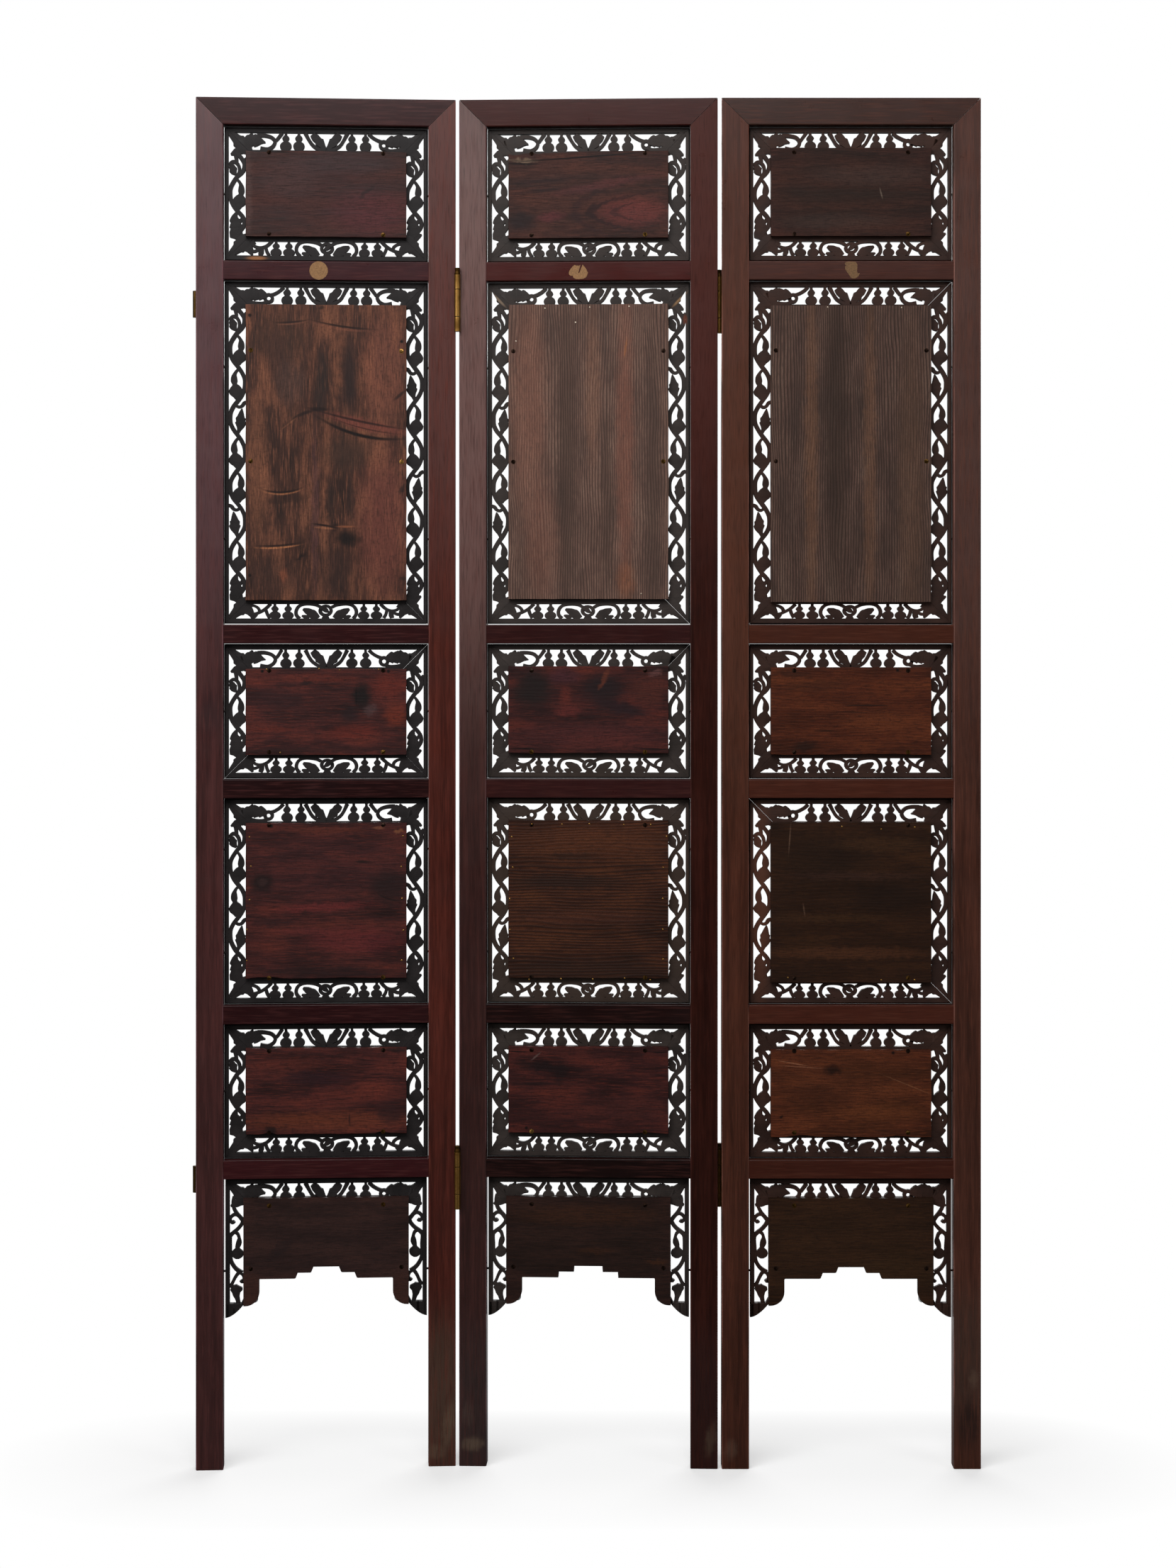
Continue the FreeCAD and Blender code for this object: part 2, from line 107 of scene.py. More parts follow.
APRON_EDGE = APRON_BOARD_LOW.x - SURROUND_LOW.x
# Height of the apron board's straight lower edge, above its two lobes
LOBE_DROP = 36
APRON_STRAIGHT = APRON_BOARD_LOW.z + LOBE_DROP
# How far the foot of an apron bracket rises from the stile to the board's lobe
BRACKET_RISE = 17
# Foot and head of each surround, from the top one down
SURROUND_SPAN = {
    name: [corner.z for corner in box_mm(f"right_{name}_surround")]
    for name in SECTIONS + ("apron",)
}
PIN_LOW, PIN_HIGH = box_mm("middle_hinge_pins")

# Settings that the sizes and the colours of the panel share
LENGTH = {"subtype": "DISTANCE", "unit": "LENGTH"}
COLOUR = {"subtype": "COLOR", "size": 4}


class ScreenSizes(bpy.types.PropertyGroup):
    """Sizes that only the visual model has."""

    arris: FloatProperty(
        name="Arris",
        description="Rounding along the edges of the frame members",
        default=1.7 * MM,
        **LENGTH,
    )
    outer_rim: FloatProperty(
        name="Outer rim",
        description="Plain edge of a surround next to the frame",
        default=4.4 * MM,
        **LENGTH,
    )
    stem: FloatProperty(
        name="Stem",
        description="Width of the carved vine",
        default=5.8 * MM,
        **LENGTH,
    )
    motif_pitch: FloatProperty(
        name="Motif pitch",
        description="Length of vine from one rim to the other in an upright strip",
        default=46 * MM,
        **LENGTH,
    )
    hand_wobble: FloatProperty(
        name="Hand wobble",
        description="How far the carving strays from its pattern",
        default=0.7 * MM,
        **LENGTH,
    )
    paper_dot: FloatProperty(
        name="Paper dot",
        description="Diameter of the paper dots on the upper rails",
        default=24.5 * MM,
        **LENGTH,
    )


class ScreenColours(bpy.types.PropertyGroup):
    """Colours that a user would change."""

    left_hardwood: FloatVectorProperty(
        name="Left hardwood",
        description="Frame wood of the left leaf",
        default=linear("3d2223"),
        **COLOUR,
    )
    middle_hardwood: FloatVectorProperty(
        name="Middle hardwood",
        description="Frame wood of the middle leaf",
        default=linear("331c1b"),
        **COLOUR,
    )
    right_hardwood: FloatVectorProperty(
        name="Right hardwood",
        description="Frame wood of the right leaf",
        default=linear("3f241c"),
        **COLOUR,
    )
    brass: FloatVectorProperty(
        name="Brass",
        description="Clean metal of the hinges and screws",
        default=linear("a37c42"),
        **COLOUR,
    )
    glaze: FloatVectorProperty(
        name="Glaze",
        description="White ground of the porcelain",
        default=linear("dfe3e0"),
        **COLOUR,
    )
    underglaze: FloatVectorProperty(
        name="Underglaze blue",
        description="Painting of the porcelain",
        default=linear("2b4a86"),
        **COLOUR,
    )
    paper: FloatVectorProperty(
        name="Paper",
        description="Paper dots on the upper rails",
        default=linear("83613f"),
        **COLOUR,
    )


def add(tree, kind, links=None, **settings):
    """Add a shader node with its settings, input values and links."""
    node = tree.nodes.new("ShaderNode" + kind)
    for name, value in settings.items():
        setattr(node, name, value)
    for socket, value in (links or {}).items():
        if isinstance(value, bpy.types.NodeSocket):
            tree.links.new(value, node.inputs[socket])
        else:
            node.inputs[socket].default_value = value
    return node


def new_material(name):
    """Empty node material with its tree."""
    material = bpy.data.materials.new(name)
    material.use_nodes = True
    material.node_tree.nodes.clear()
    return material, material.node_tree


def toned(colour, factor, warmth=1.0):
    """Colour made lighter or darker and warmer, alpha kept."""
    red, green, blue = list(colour)[:3]
    return [red * factor, green * factor / warmth, blue * factor / warmth**2, 1.0]


def mark(tree, place, spot):
    """Soft-edged spot of a stain, crack, knot, painted sheen, highlight or shadow: 1 in its middle,
    0 outside.

    The spot is (x, z, half length, half height, turn, bend), in millimetres and degrees, and its
    turn and bend are left out where they are none.
    """
    x, z, half_length, half_height, turn, bend = (*spot, 0, 0)[:6]
    own = {
        "Vector": place,
        "Location": (x * MM, 0, z * MM),
        "Rotation": (0, math.radians(turn), 0),
        "Scale": (half_length * MM, 1, half_height * MM),
    }
    local = add(tree, "Mapping", own, vector_type="TEXTURE")
    axes = add(tree, "SeparateXYZ", {0: local.outputs[0]})
    along, up = axes.outputs["X"], axes.outputs["Z"]
    along = add(tree, "Math", {0: along, 1: along}, operation="MULTIPLY").outputs[0]
    bent = add(tree, "Math", {0: along, 1: -bend, 2: up}, operation="MULTIPLY_ADD").outputs[0]
    off = add(tree, "Math", {0: bent, 1: bent, 2: along}, operation="MULTIPLY_ADD").outputs[0]
    # Even inside, with a short soft edge
    fall = add(tree, "Math", {0: off, 1: off}, operation="MULTIPLY").outputs[0]
    return add(tree, "Math", {0: 1 / math.e, 1: fall}, operation="POWER").outputs[0]


def local_place(tree, place, ragged, seed):
    """Coordinates in a piece's own axes: plain, ragged by some millimetres, and for its noise."""
    where = add(tree, "TexCoord").outputs["Object"]
    turn = place.to_euler().z
    own = {"Vector": where, "Location": place.translation, "Rotation": (0, 0, turn)}
    plain = add(tree, "Mapping", own, vector_type="TEXTURE").outputs[0]
    # Every piece is cut from its own part of the noise, some metres away
    rng = random.Random(seed)
    shift = [rng.uniform(-4, 4) for axis in range(3)]
    drift = add(tree, "VectorMath", {0: plain, 1: shift}, operation="ADD").outputs[0]
    jitter = add(tree, "TexNoise", {"Vector": drift, "Scale": 1 / (9 * MM), "Detail": 3.0})
    about = {0: jitter.outputs["Color"], 1: (0.5, 0.5, 0.5)}
    centred = add(tree, "VectorMath", about, operation="SUBTRACT").outputs[0]
    push = {0: centred, 1: (2 * ragged * MM,) * 3, 2: plain}
    pushed = add(tree, "VectorMath", push, operation="MULTIPLY_ADD").outputs[0]
    return plain, pushed, drift


def grain(tree, plain, upright, across_mm, along_mm, detail):
    """Noise drawn out along the grain, about 0 to 1."""
    long, short = 1 / (along_mm * MM), 1 / (across_mm * MM)
    scale = (short, short, long) if upright else (long, short, short)
    drawn = add(tree, "Mapping", {"Vector": plain, "Scale": scale}).outputs[0]
    return add(tree, "TexNoise", {"Vector": drawn, "Scale": 1.0, "Detail": detail}).outputs["Fac"]


def laid_over(tree, body, colour, pattern, low, high, strength=1.0):
    """Body with a colour laid over it as a pattern rises from low to high, up to a strength."""
    share = add(tree, "MapRange", {0: pattern, 1: low, 2: high, 4: strength}).outputs[0]
    return add(tree, "Mix", {0: share, 6: body, 7: colour}, data_type="RGBA").outputs[2]


# Marks thinner than this, in millimetres, are cracks, scratches and thin painted highlights, and
# have clean edges
CLEAN_MARK = 3


def stained(tree, body, plain, ragged, marks):
    """Colour with ragged stains, clean cracks and some painted sheen, highlights and shadows over
    it, each as (spot, colour, strength).
    """
    for spot, code, strength in marks:
        where = plain if min(spot[2:4]) < CLEAN_MARK else ragged
        body = laid_over(tree, body, linear(code), mark(tree, where, spot), 0, 1, strength)
    return body


# Width of the pale band along a stile's edges in millimetres, and where it is fully pale; the band
# is worn wood and a painted highlight on the arris
ARRIS_BAND, ARRIS_BARE = 1.9, 0.5


def polished_hardwood(name, colour, place, upright, gloss, marks):
    """Dark red hardwood, oiled and rubbed: pores along the grain, streaks, satin, pale arrises of
    worn wood with a painted highlight.
    """
    material, tree = new_material(name)
    plain, ragged, drift = local_place(tree, place, 5, name)
    streaks = grain(tree, drift, upright, 8, 240, 4.0)
    flecks = grain(tree, drift, upright, 2.4, 40, 3.0)
    # Real pores are about 0.2 mm wide and are drawn coarser, so that they show
    pores = grain(tree, drift, upright, 1.1, 26, 2.0)
    wide = add(tree, "TexNoise", {"Vector": drift, "Scale": 1 / (140 * MM), "Detail": 2.0})
    body = laid_over(tree, toned(colour, 0.58), toned(colour, 1.42), streaks, 0.3, 0.7)
    body = laid_over(tree, body, toned(colour, 0.5), wide.outputs["Fac"], 0.4, 0.75, 0.5)
    body = stained(tree, body, plain, ragged, marks)
    body = laid_over(tree, body, toned(colour, 1.9, 1.04), flecks, 0.48, 0.72, 0.45)
    body = laid_over(tree, body, toned(colour, 0.42), pores, 0.5, 0.72, 0.5)
    if upright:
        side = add(tree, "SeparateXYZ", {0: plain}).outputs["X"]
        out = add(tree, "Math", {0: side}, operation="ABSOLUTE").outputs[0]
        inner, outer = [(STILE_WIDTH / 2 - off) * MM for off in (ARRIS_BAND, ARRIS_BARE)]
        edge = add(tree, "MapRange", {0: out, 1: inner, 2: outer}).outputs[0]
        # Worn wood along the arrises, made much lighter and cooler as a painted highlight
        rubbed = grain(tree, drift, True, 14, 70, 4.0)
        bare_and_highlight = add(tree, "MapRange", {0: rubbed, 1: 0.42, 2: 0.62, 4: 0.6}).outputs[0]
        worn = add(tree, "Math", {0: edge, 1: bare_and_highlight}, operation="MULTIPLY").outputs[0]
        body = laid_over(tree, body, toned(colour, 5.0, 0.8), worn, 0, 1)
    satin = add(tree, "TexNoise", {"Vector": drift, "Scale": 1 / (35 * MM), "Detail": 4.0})
    rough = add(tree, "MapRange", {0: satin.outputs["Fac"], 1: 0.3, 2: 0.7, 3: 0.27, 4: 0.38})
    bump = add(tree, "Bump", {"Height": pores, "Strength": 0.1, "Distance": 0.3 * MM})
    surface = {
        "Base Color": body,
        "Roughness": rough.outputs[0],
        "Normal": bump.outputs[0],
        "Specular IOR Level": 0.36 * gloss,
        "Coat Weight": 0.12 * gloss,
        "Coat Roughness": 0.3,
    }
    shader = add(tree, "BsdfPrincipled", surface)
    add(tree, "OutputMaterial", {"Surface": shader.outputs[0]})
    return material


def carved_blackwood(name, code, place, marks):
    """Surround wood stained near black: dry, matt back with saw marks and brown rubbed patches."""
    material, tree = new_material(name)
    colour = linear(code)
    plain, ragged, drift = local_place(tree, place, 3, name)
    worn = add(tree, "TexNoise", {"Vector": drift, "Scale": 1 / (28 * MM), "Detail": 5.0})
    worn = worn.outputs["Fac"]
    fine = add(tree, "TexNoise", {"Vector": drift, "Scale": 1 / (1.6 * MM), "Detail": 3.0})
    # Real fibres are finer than 0.2 mm and are drawn coarser, so that they show
    fibres = grain(tree, drift, False, 1.2, 30, 2.0)
    body = laid_over(tree, toned(colour, 0.75), toned(colour, 1.35), worn, 0.35, 0.7)
    body = laid_over(tree, body, toned(colour, 0.55), fibres, 0.45, 0.7, 0.4)
    body = stained(tree, body, plain, ragged, marks)
    rough = add(tree, "MapRange", {0: worn, 1: 0.3, 2: 0.7, 3: 0.5, 4: 0.66})
    relief = {"Height": fine.outputs["Fac"], "Strength": 0.25, "Distance": 0.25 * MM}
    bump = add(tree, "Bump", relief)
    surface = {
        "Base Color": body,
        "Roughness": rough.outputs[0],
        "Normal": bump.outputs[0],
        "Specular IOR Level": 0.2,
    }
    shader = add(tree, "BsdfPrincipled", surface)
    add(tree, "OutputMaterial", {"Surface": shader.outputs[0]})
    return material


# Finishes of the backing boards: dark, middle and light wood, growth line spacing in millimetres
# and how strongly the lines show
BOARD_FINISHES = {
    "weathered": (("241612", "472a20", "80503a"), 5.0, 0.2),
    "ribbed": (("48362f", "63493f", "725a4e"), 3.4, 0.9),
    "red": (("1f0d0d", "3e1a18", "5e271d"), 6.0, 0.22),
    "orange": (("250f07", "431c0e", "5e2e17"), 4.2, 0.28),
    "lined": (("2a140b", "442111", "5c3119"), 4.6, 0.75),
    "olive": (("1b0e07", "2b160a", "3d2310"), 5.0, 0.2),
    "umber": (("1e110e", "341d18", "472921"), 7.0, 0.18),
}


def board_pine(name, place, finish, upright, shade, marks, sheen):
    """Old softwood board, stained, unpolished: growth lines, loose fibres, knots, water stains, and
    painted sheen, highlights and shadows on some boards.
    """
    material, tree = new_material(name)
    codes, pitch, contrast = BOARD_FINISHES[finish]
    dark, middle, light = [toned(linear(code), shade) for code in codes]
    plain, ragged, drift = local_place(tree, place, 6, name)
    axes = add(tree, "SeparateXYZ", {0: plain})
    across = axes.outputs["X" if upright else "Z"]
    swing = grain(tree, drift, upright, 45, 220, 2.0)
    # Real fibres are finer than 0.2 mm and are drawn coarser, so that they show
    fibres = grain(tree, drift, upright, 0.7, 13, 3.0)
    flecks = grain(tree, drift, upright, 1.8, 22, 5.0)
    clouds = grain(tree, drift, upright, 20, 80, 6.0)
    mottle = add(tree, "TexNoise", {"Vector": drift, "Scale": 1 / (3 * MM), "Detail": 3.0})
    # Growth lines wander by about six spacings over the board
    wander = add(tree, "Math", {0: swing, 1: 6 * pitch * MM, 2: across}, operation="MULTIPLY_ADD")
    turns = math.tau / (pitch * MM)
    phase = add(tree, "Math", {0: wander.outputs[0], 1: turns}, operation="MULTIPLY")
    rings = add(tree, "Math", {0: phase.outputs[0]}, operation="SINE").outputs[0]
    body = laid_over(tree, dark, middle, clouds, 0.3, 0.55)
    body = laid_over(tree, body, light, clouds, 0.5, 0.75)
    body = laid_over(tree, body, light, flecks, 0.5, 0.7, 0.6)
    body = laid_over(tree, body, toned(dark, 0.5), rings, 0.0, 0.95, contrast)
    body = stained(tree, body, plain, ragged, marks)
    body = laid_over(tree, body, dark, mottle.outputs["Fac"], 0.5, 0.75, 0.45)
    body = laid_over(tree, body, toned(dark, 0.7), fibres, 0.47, 0.68, 0.7)
    rough = add(tree, "MapRange", {0: clouds, 1: 0.3, 2: 0.7, 3: 0.52, 4: 0.68})
    ridges = add(tree, "Math", {0: rings, 1: contrast, 2: fibres}, operation="MULTIPLY_ADD")
    bump = add(tree, "Bump", {"Height": ridges.outputs[0], "Strength": 0.35, "Distance": 0.4 * MM})
    surface = {
        "Base Color": body,
        "Roughness": rough.outputs[0],
        "Normal": bump.outputs[0],
        "Specular IOR Level": sheen,
    }
    shader = add(tree, "BsdfPrincipled", surface)
    add(tree, "OutputMaterial", {"Surface": shader.outputs[0]})
    return material


def aged_brass(name, colour, tarnish):
    """Cast brass with brown tarnish in patches, rubbed bright where hands touch it."""
    material, tree = new_material(name)
    where = add(tree, "TexCoord").outputs["Object"]
    patches = add(tree, "TexNoise", {"Vector": where, "Scale": 1 / (14 * MM), "Detail": 3.0})
    patches = patches.outputs["Fac"]
    # Casting pits of about 0.2 mm, drawn coarser so that they show
    pits = add(tree, "TexNoise", {"Vector": where, "Scale": 1 / (0.8 * MM), "Detail": 2.0})
    low, high = 0.35 - tarnish * 0.3, 0.75 - tarnish * 0.3
    body = laid_over(tree, list(colour), toned(colour, 0.4, 1.1), patches, low, high)
    rough = add(tree, "MapRange", {0: patches, 1: low, 2: high, 3: 0.3, 4: 0.55})
    relief = {"Height": pits.outputs["Fac"], "Strength": 0.3, "Distance": 0.15 * MM}
    bump = add(tree, "Bump", relief)
    surface = {
        "Base Color": body,
        "Metallic": 1.0,
        "Roughness": rough.outputs[0],
        "Normal": bump.outputs[0],
    }
    shader = add(tree, "BsdfPrincipled", surface)
    add(tree, "OutputMaterial", {"Surface": shader.outputs[0]})
    return material


# Painted hills from the furthest to the nearest: reach of the ridge's noise, middle height as a
# share of the plaque, rise and fall about it, and strength of the blue
HILLS = ((1.6, 0.74, 0.16, 0.35), (2.6, 0.52, 0.2, 0.6), (4.2, 0.3, 0.2, 0.9))


def blue_and_white(name, glaze, blue):
    """Glazed porcelain: bluish white ground, cobalt hills in mist under a clear wet gloss."""
    material, tree = new_material(name)
    painted = add(tree, "UVMap", uv_map="painting").outputs[0]
    axes = add(tree, "SeparateXYZ", {0: painted})
    body = list(glaze)
    for reach, top, rise, strength in HILLS:
        row = add(tree, "CombineXYZ", {"X": axes.outputs["X"], "Y": reach}).outputs[0]
        ridge = add(tree, "TexNoise", {"Vector": row, "Scale": reach * 3, "Detail": 6.0})
        levels = {0: ridge.outputs["Fac"], 1: 0.3, 2: 0.7, 3: top - rise, 4: top + rise}
        line = add(tree, "MapRange", levels).outputs[0]
        below = add(tree, "Math", {0: line, 1: axes.outputs["Y"]}, operation="SUBTRACT").outputs[0]
        edge = add(tree, "MapRange", {0: below, 2: 0.012}).outputs[0]
        mist = add(tree, "MapRange", {0: below, 2: 0.24, 3: strength, 4: 0.04}).outputs[0]
        wash = add(tree, "Math", {0: edge, 1: mist}, operation="MULTIPLY").outputs[0]
        body = laid_over(tree, body, list(blue), wash, 0, 1)
    surface = {
        "Base Color": body,
        "Roughness": 0.12,
        "IOR": 1.52,
        "Coat Weight": 0.5,
        "Coat Roughness": 0.05,
    }
    shader = add(tree, "BsdfPrincipled", surface)
    add(tree, "OutputMaterial", {"Surface": shader.outputs[0]})
    return material


def painted_band(name, blue):
    """Band of cobalt under the glaze, brushed darker and lighter along its length."""
    material, tree = new_material(name)
    where = add(tree, "TexCoord").outputs["Object"]
    strokes = add(tree, "TexNoise", {"Vector": where, "Scale": 1 / (7 * MM), "Detail": 3.0})
    body = laid_over(tree, toned(blue, 0.6), toned(blue, 1.5), strokes.outputs["Fac"], 0.3, 0.7)
    shader = add(tree, "BsdfPrincipled", {"Base Color": body, "Roughness": 0.12, "IOR": 1.52})
    add(tree, "OutputMaterial", {"Surface": shader.outputs[0]})
    return material


def plain_fibre(name, colour, grain_mm, roughness):
    """Matt fibrous stuff such as paper or bamboo, mottled by its bundles of fibre."""
    material, tree = new_material(name)
    where = add(tree, "TexCoord").outputs["Object"]
    mottle = add(tree, "TexNoise", {"Vector": where, "Scale": 1 / (grain_mm * MM), "Detail": 5.0})
    mottle = mottle.outputs["Fac"]
    body = laid_over(tree, toned(colour, 0.7), toned(colour, 1.2), mottle, 0.3, 0.7)
    bump = add(tree, "Bump", {"Height": mottle, "Strength": 0.2, "Distance": 0.1 * MM})
    surface = {"Base Color": body, "Roughness": roughness, "Normal": bump.outputs[0], "IOR": 1.45}
    shader = add(tree, "BsdfPrincipled", surface)
    add(tree, "OutputMaterial", {"Surface": shader.outputs[0]})
    return material


def finish_piece(name, bm, side, materials, nodes, sharp=38):
    """Turn a bmesh in leaf millimetres into a piece that rides its leaf and stands for CAD nodes.

    Edges that turn by more than the sharp angle, in degrees, are shaded as edges.
    """
    bmesh.ops.transform(bm, matrix=leaf_frame(side) @ Matrix.Scale(MM, 4), verts=bm.verts)
    bmesh.ops.recalc_face_normals(bm, faces=bm.faces)
    mesh = bpy.data.meshes.new(name)
    bm.to_mesh(mesh)
    bm.free()
    mesh.shade_smooth()
    mesh.set_sharp_from_angle(angle=math.radians(sharp))
    for material in materials:
        mesh.materials.append(material)
    piece = bpy.data.objects.new(name, mesh)
    bpy.context.scene.collection.objects.link(piece)
    # Flat faces stay flat to the light beside their rounded edges
    piece.modifiers.new("weighted normals", "WEIGHTED_NORMAL").keep_sharp = True
    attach(piece, f"{side}_leaf")
    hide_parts(*nodes)
    return piece


def bar(bm, low, high):
    """Box between two corners, as its vertices."""
    size = Vector(high) - Vector(low)
    middle = (Vector(high) + Vector(low)) / 2
    place = Matrix.Translation(middle) @ Matrix.Diagonal((*size, 1))
    return bmesh.ops.create_cube(bm, size=1.0, matrix=place)["verts"]


def rod(bm, place, depth, foot, head, segments):
    """Round bar about a placement, from the radius of its foot to that of its head."""
    return bmesh.ops.create_cone(
        bm,
        cap_ends=True,
        segments=segments,
        radius1=foot,
        radius2=head,
        depth=depth,
        matrix=place,
    )["verts"]


def ease(bm, edges, radius, segments):
    """Round the given edges."""
    bmesh.ops.bevel(
        bm,
        geom=list(edges),
        offset=radius,
        offset_type="OFFSET",
        segments=segments,
        profile=0.5,
        affect="EDGES",
        clamp_overlap=True,
        material=-1,
    )


def edges_of(verts):
    """Edges that join the given vertices among themselves."""
    chosen = set(verts)
    linked = [(edge, vert) for vert in verts for edge in vert.link_edges]
    return list(dict.fromkeys(edge for edge, vert in linked if edge.other_vert(vert) in chosen))


def thicken(bm, faces, shift):
    """Extrude faces and carry the new ones along by a shift."""
    grown = bmesh.ops.extrude_face_region(bm, geom=list(faces))
    moved = [part for part in grown["geom"] if isinstance(part, bmesh.types.BMVert)]
    bmesh.ops.translate(bm, vec=shift, verts=moved)


def mitre(bm, point, normal):
    """Saw off everything on the far side of a plane and close the cut."""
    cut = bmesh.ops.bisect_plane(
        bm,
        geom=bm.verts[:] + bm.edges[:] + bm.faces[:],
        plane_co=point,
        plane_no=normal,
        clear_outer=True,
    )
    rim = [part for part in cut["geom_cut"] if isinstance(part, bmesh.types.BMEdge)]
    bmesh.ops.edgeloop_fill(bm, edges=rim)


def runs_along(edge, axis):
    """Whether an edge runs along one of the leaf's axes."""
    line = edge.verts[1].co - edge.verts[0].co
    return abs(line.normalized()[axis]) > 0.999


class SCREEN_OT_stiles(bpy.types.Operator):
    """Full-height stiles with mitred tops and eased edges"""

    bl_idname = "screen.stiles"
    bl_label = "Stiles"

    def execute(self, context):
        colours = context.scene.screen_colours
        arris = context.scene.screen_sizes.arris / MM
        # Painted sheen as lighter zones high on the stiles, greyer zones near the foot, stains and
        # foot scuffs, as (spot from the stile's foot, colour, strength)
        sheen_and_scuffs = {
            ("left", "left"): [
                ((0, 1500, 60, 400), "573c3f", 0.65),
                ((2, 1010, 12, 30), "2a181a", 0.6),
            ],
            ("left", "right"): [
                ((0, 1620, 60, 420), "5a3b37", 0.6),
                ((0, 90, 60, 110), "4a3a30", 0.7),
                ((9, 55, 9, 26, 8), "6e5c4a", 0.35),
                ((-8, 20, 12, 10), "5d4a3c", 0.5),
            ],
            ("middle", "left"): [
                ((0, 1460, 60, 440), "6c4f4a", 0.75),
                ((0, 80, 60, 110), "302726", 0.6),
                ((0, 30, 14, 9, -12), "6e5d4c", 0.45),
                ((-6, 70, 8, 16), "4a3a34", 0.5),
            ],
            ("middle", "right"): [
                ((0, 1640, 60, 380), "4a2722", 0.7),
                ((0, 80, 60, 110), "2b1c1b", 0.6),
                ((9, 40, 7, 22, 10), "5a4a3c", 0.35),
            ],
            ("right", "left"): [
                ((0, 1300, 60, 400), "543225", 0.55),
                ((-6, 26, 8, 14), "5f4c40", 0.35),
            ],
            ("right", "right"): [
                ((0, 1420, 60, 400), "4e3833", 0.6),
                ((0, 150, 60, 90), "3e2f28", 0.6),
                ((2, 60, 14, 34), "1c1210", 0.75),
                ((8, 120, 6, 12), "6a5546", 0.3),
            ],
        }
        # Shade and warmth of each stile beside its leaf's wood, and how much polish is left on it
        shades = {
            ("left", "left"): (1.02, 1.12, 0.85),
            ("left", "right"): (1.26, 1.58, 0.5),
            ("middle", "left"): (1.0, 1.12, 0.85),
            ("middle", "right"): (0.78, 1.42, 0.25),
            ("right", "left"): (1.05, 1.15, 0.5),
            ("right", "right"): (1.1, 1.07, 0.6),
        }
        for side in SIDES:
            colour = getattr(colours, f"{side}_hardwood")
            for edge, way in (("left", -1), ("right", 1)):
                bm = bmesh.new()
                bar(bm, (HALF_OPENING, -HALF_DEPTH, 0), (HALF_LEAF, HALF_DEPTH, HEIGHT))
                mitre(bm, (HALF_OPENING + MITRE_LINE, 0, HEIGHT - STILE_WIDTH), (-1, 0, 1))
                ease(bm, [e for e in bm.edges if runs_along(e, 2)], arris, 3)
                foot = [e for e in bm.edges if max(v.co.z for v in e.verts) < arris]
                ease(bm, foot, arris / 2, 2)
                bmesh.ops.scale(bm, vec=(way, 1, 1), verts=bm.verts)
                middle = way * (HALF_OPENING + STILE_WIDTH / 2) * MM
                shade, warmth, gloss = shades[side, edge]
                wood = polished_hardwood(
                    f"Polished hardwood {side} leaf {edge} stile",
                    toned(colour, shade, warmth),
                    leaf_frame(side) @ Matrix.Translation((middle, 0, 0)),
                    True,
                    gloss,
                    sheen_and_scuffs[side, edge],
                )
                node = f"{side}_{edge}_stile"
                finish_piece(f"{node}_wood", bm, side, [wood], [node])
        return {"FINISHED"}


class SCREEN_OT_rails(bpy.types.Operator):
    """Mitred top rail and five cross rails of each leaf"""

    bl_idname = "screen.rails"
    bl_label = "Rails"

    def execute(self, context):
        arris = context.scene.screen_sizes.arris / MM
        colours = context.scene.screen_colours
        levels = list(SURROUND_SPAN.values())
        spaces = [(below[1], above[0]) for above, below in zip(levels, levels[1:])]
        middles = [HEIGHT - STILE_WIDTH / 2] + [(low + high) / 2 for low, high in spaces]
        gap = HALF_OPENING - HALF_SURROUND
        # Colours laid over the rails from the top one down, as far as they differ from the stiles;
        # most are darker
        darker = {
            "left": ("260f0f", "33181c", "250a0c", "150506", "1f0609", "310e12"),
            "middle": ("34100b", "3f1310", "280c0c", "2c1111", "110505", "080202"),
            "right": ("33231f", "3e241f", "3f1e14", "421f15", "421e15", "391810"),
        }
        for side in SIDES:
            wood = polished_hardwood(
                f"Polished hardwood {side} leaf rails",
                toned(getattr(colours, f"{side}_hardwood"), 0.95, 1.1),
                leaf_frame(side),
                False,
                0.4,
                [((0, z, 600, 26), code, 0.85) for z, code in zip(middles, darker[side])],
            )
            bm = bmesh.new()
            foot = HEIGHT - STILE_WIDTH
            bar(bm, (-HALF_LEAF, -HALF_DEPTH, foot), (HALF_LEAF, HALF_DEPTH, HEIGHT))
            for way in (-1, 1):
                mitre(bm, (way * (HALF_OPENING - MITRE_LINE), 0, foot), (way, 0, -1))
            ease(bm, [e for e in bm.edges if runs_along(e, 0)], arris, 3)
            node = f"{side}_top_rail"
            finish_piece(f"{node}_wood", bm, side, [wood], [node])
            bm = bmesh.new()
            for low, high in spaces:
                corner = (HALF_OPENING, HALF_RAIL_DEPTH, high - gap)
                bar(bm, (-HALF_OPENING, -HALF_RAIL_DEPTH, low + gap), corner)
            ease(bm, [e for e in bm.edges if runs_along(e, 0)], arris * 0.8, 3)
            node = f"{side}_cross_rails"
            finish_piece(f"{node}_wood", bm, side, [wood], [node])
        return {"FINISHED"}


# Section of a carved member: across from -1 to 1, depth from the sawn back to the rounded front
CARVED = [
    (-0.88, 0.0),
    (0.88, 0.0),
    (1.0, 0.05),
    (1.0, 0.7),
    (0.8, 0.9),
    (0.35, 1.0),
    (-0.35, 1.0),
    (-0.8, 0.9),
    (-1.0, 0.7),
    (-1.0, 0.05),
]
# How much fuller than drawn the leaves and gourds are cut
FULLNESS = 1.06
# Section of a plain rim with slightly eased edges
PLAIN = [
    (-0.9, 0.0),
    (0.9, 0.0),
    (1.0, 0.04),
    (1.0, 0.94),
    (0.8, 1.0),
    (-0.8, 1.0),
    (-1.0, 0.94),
    (-1.0, 0.04),
]


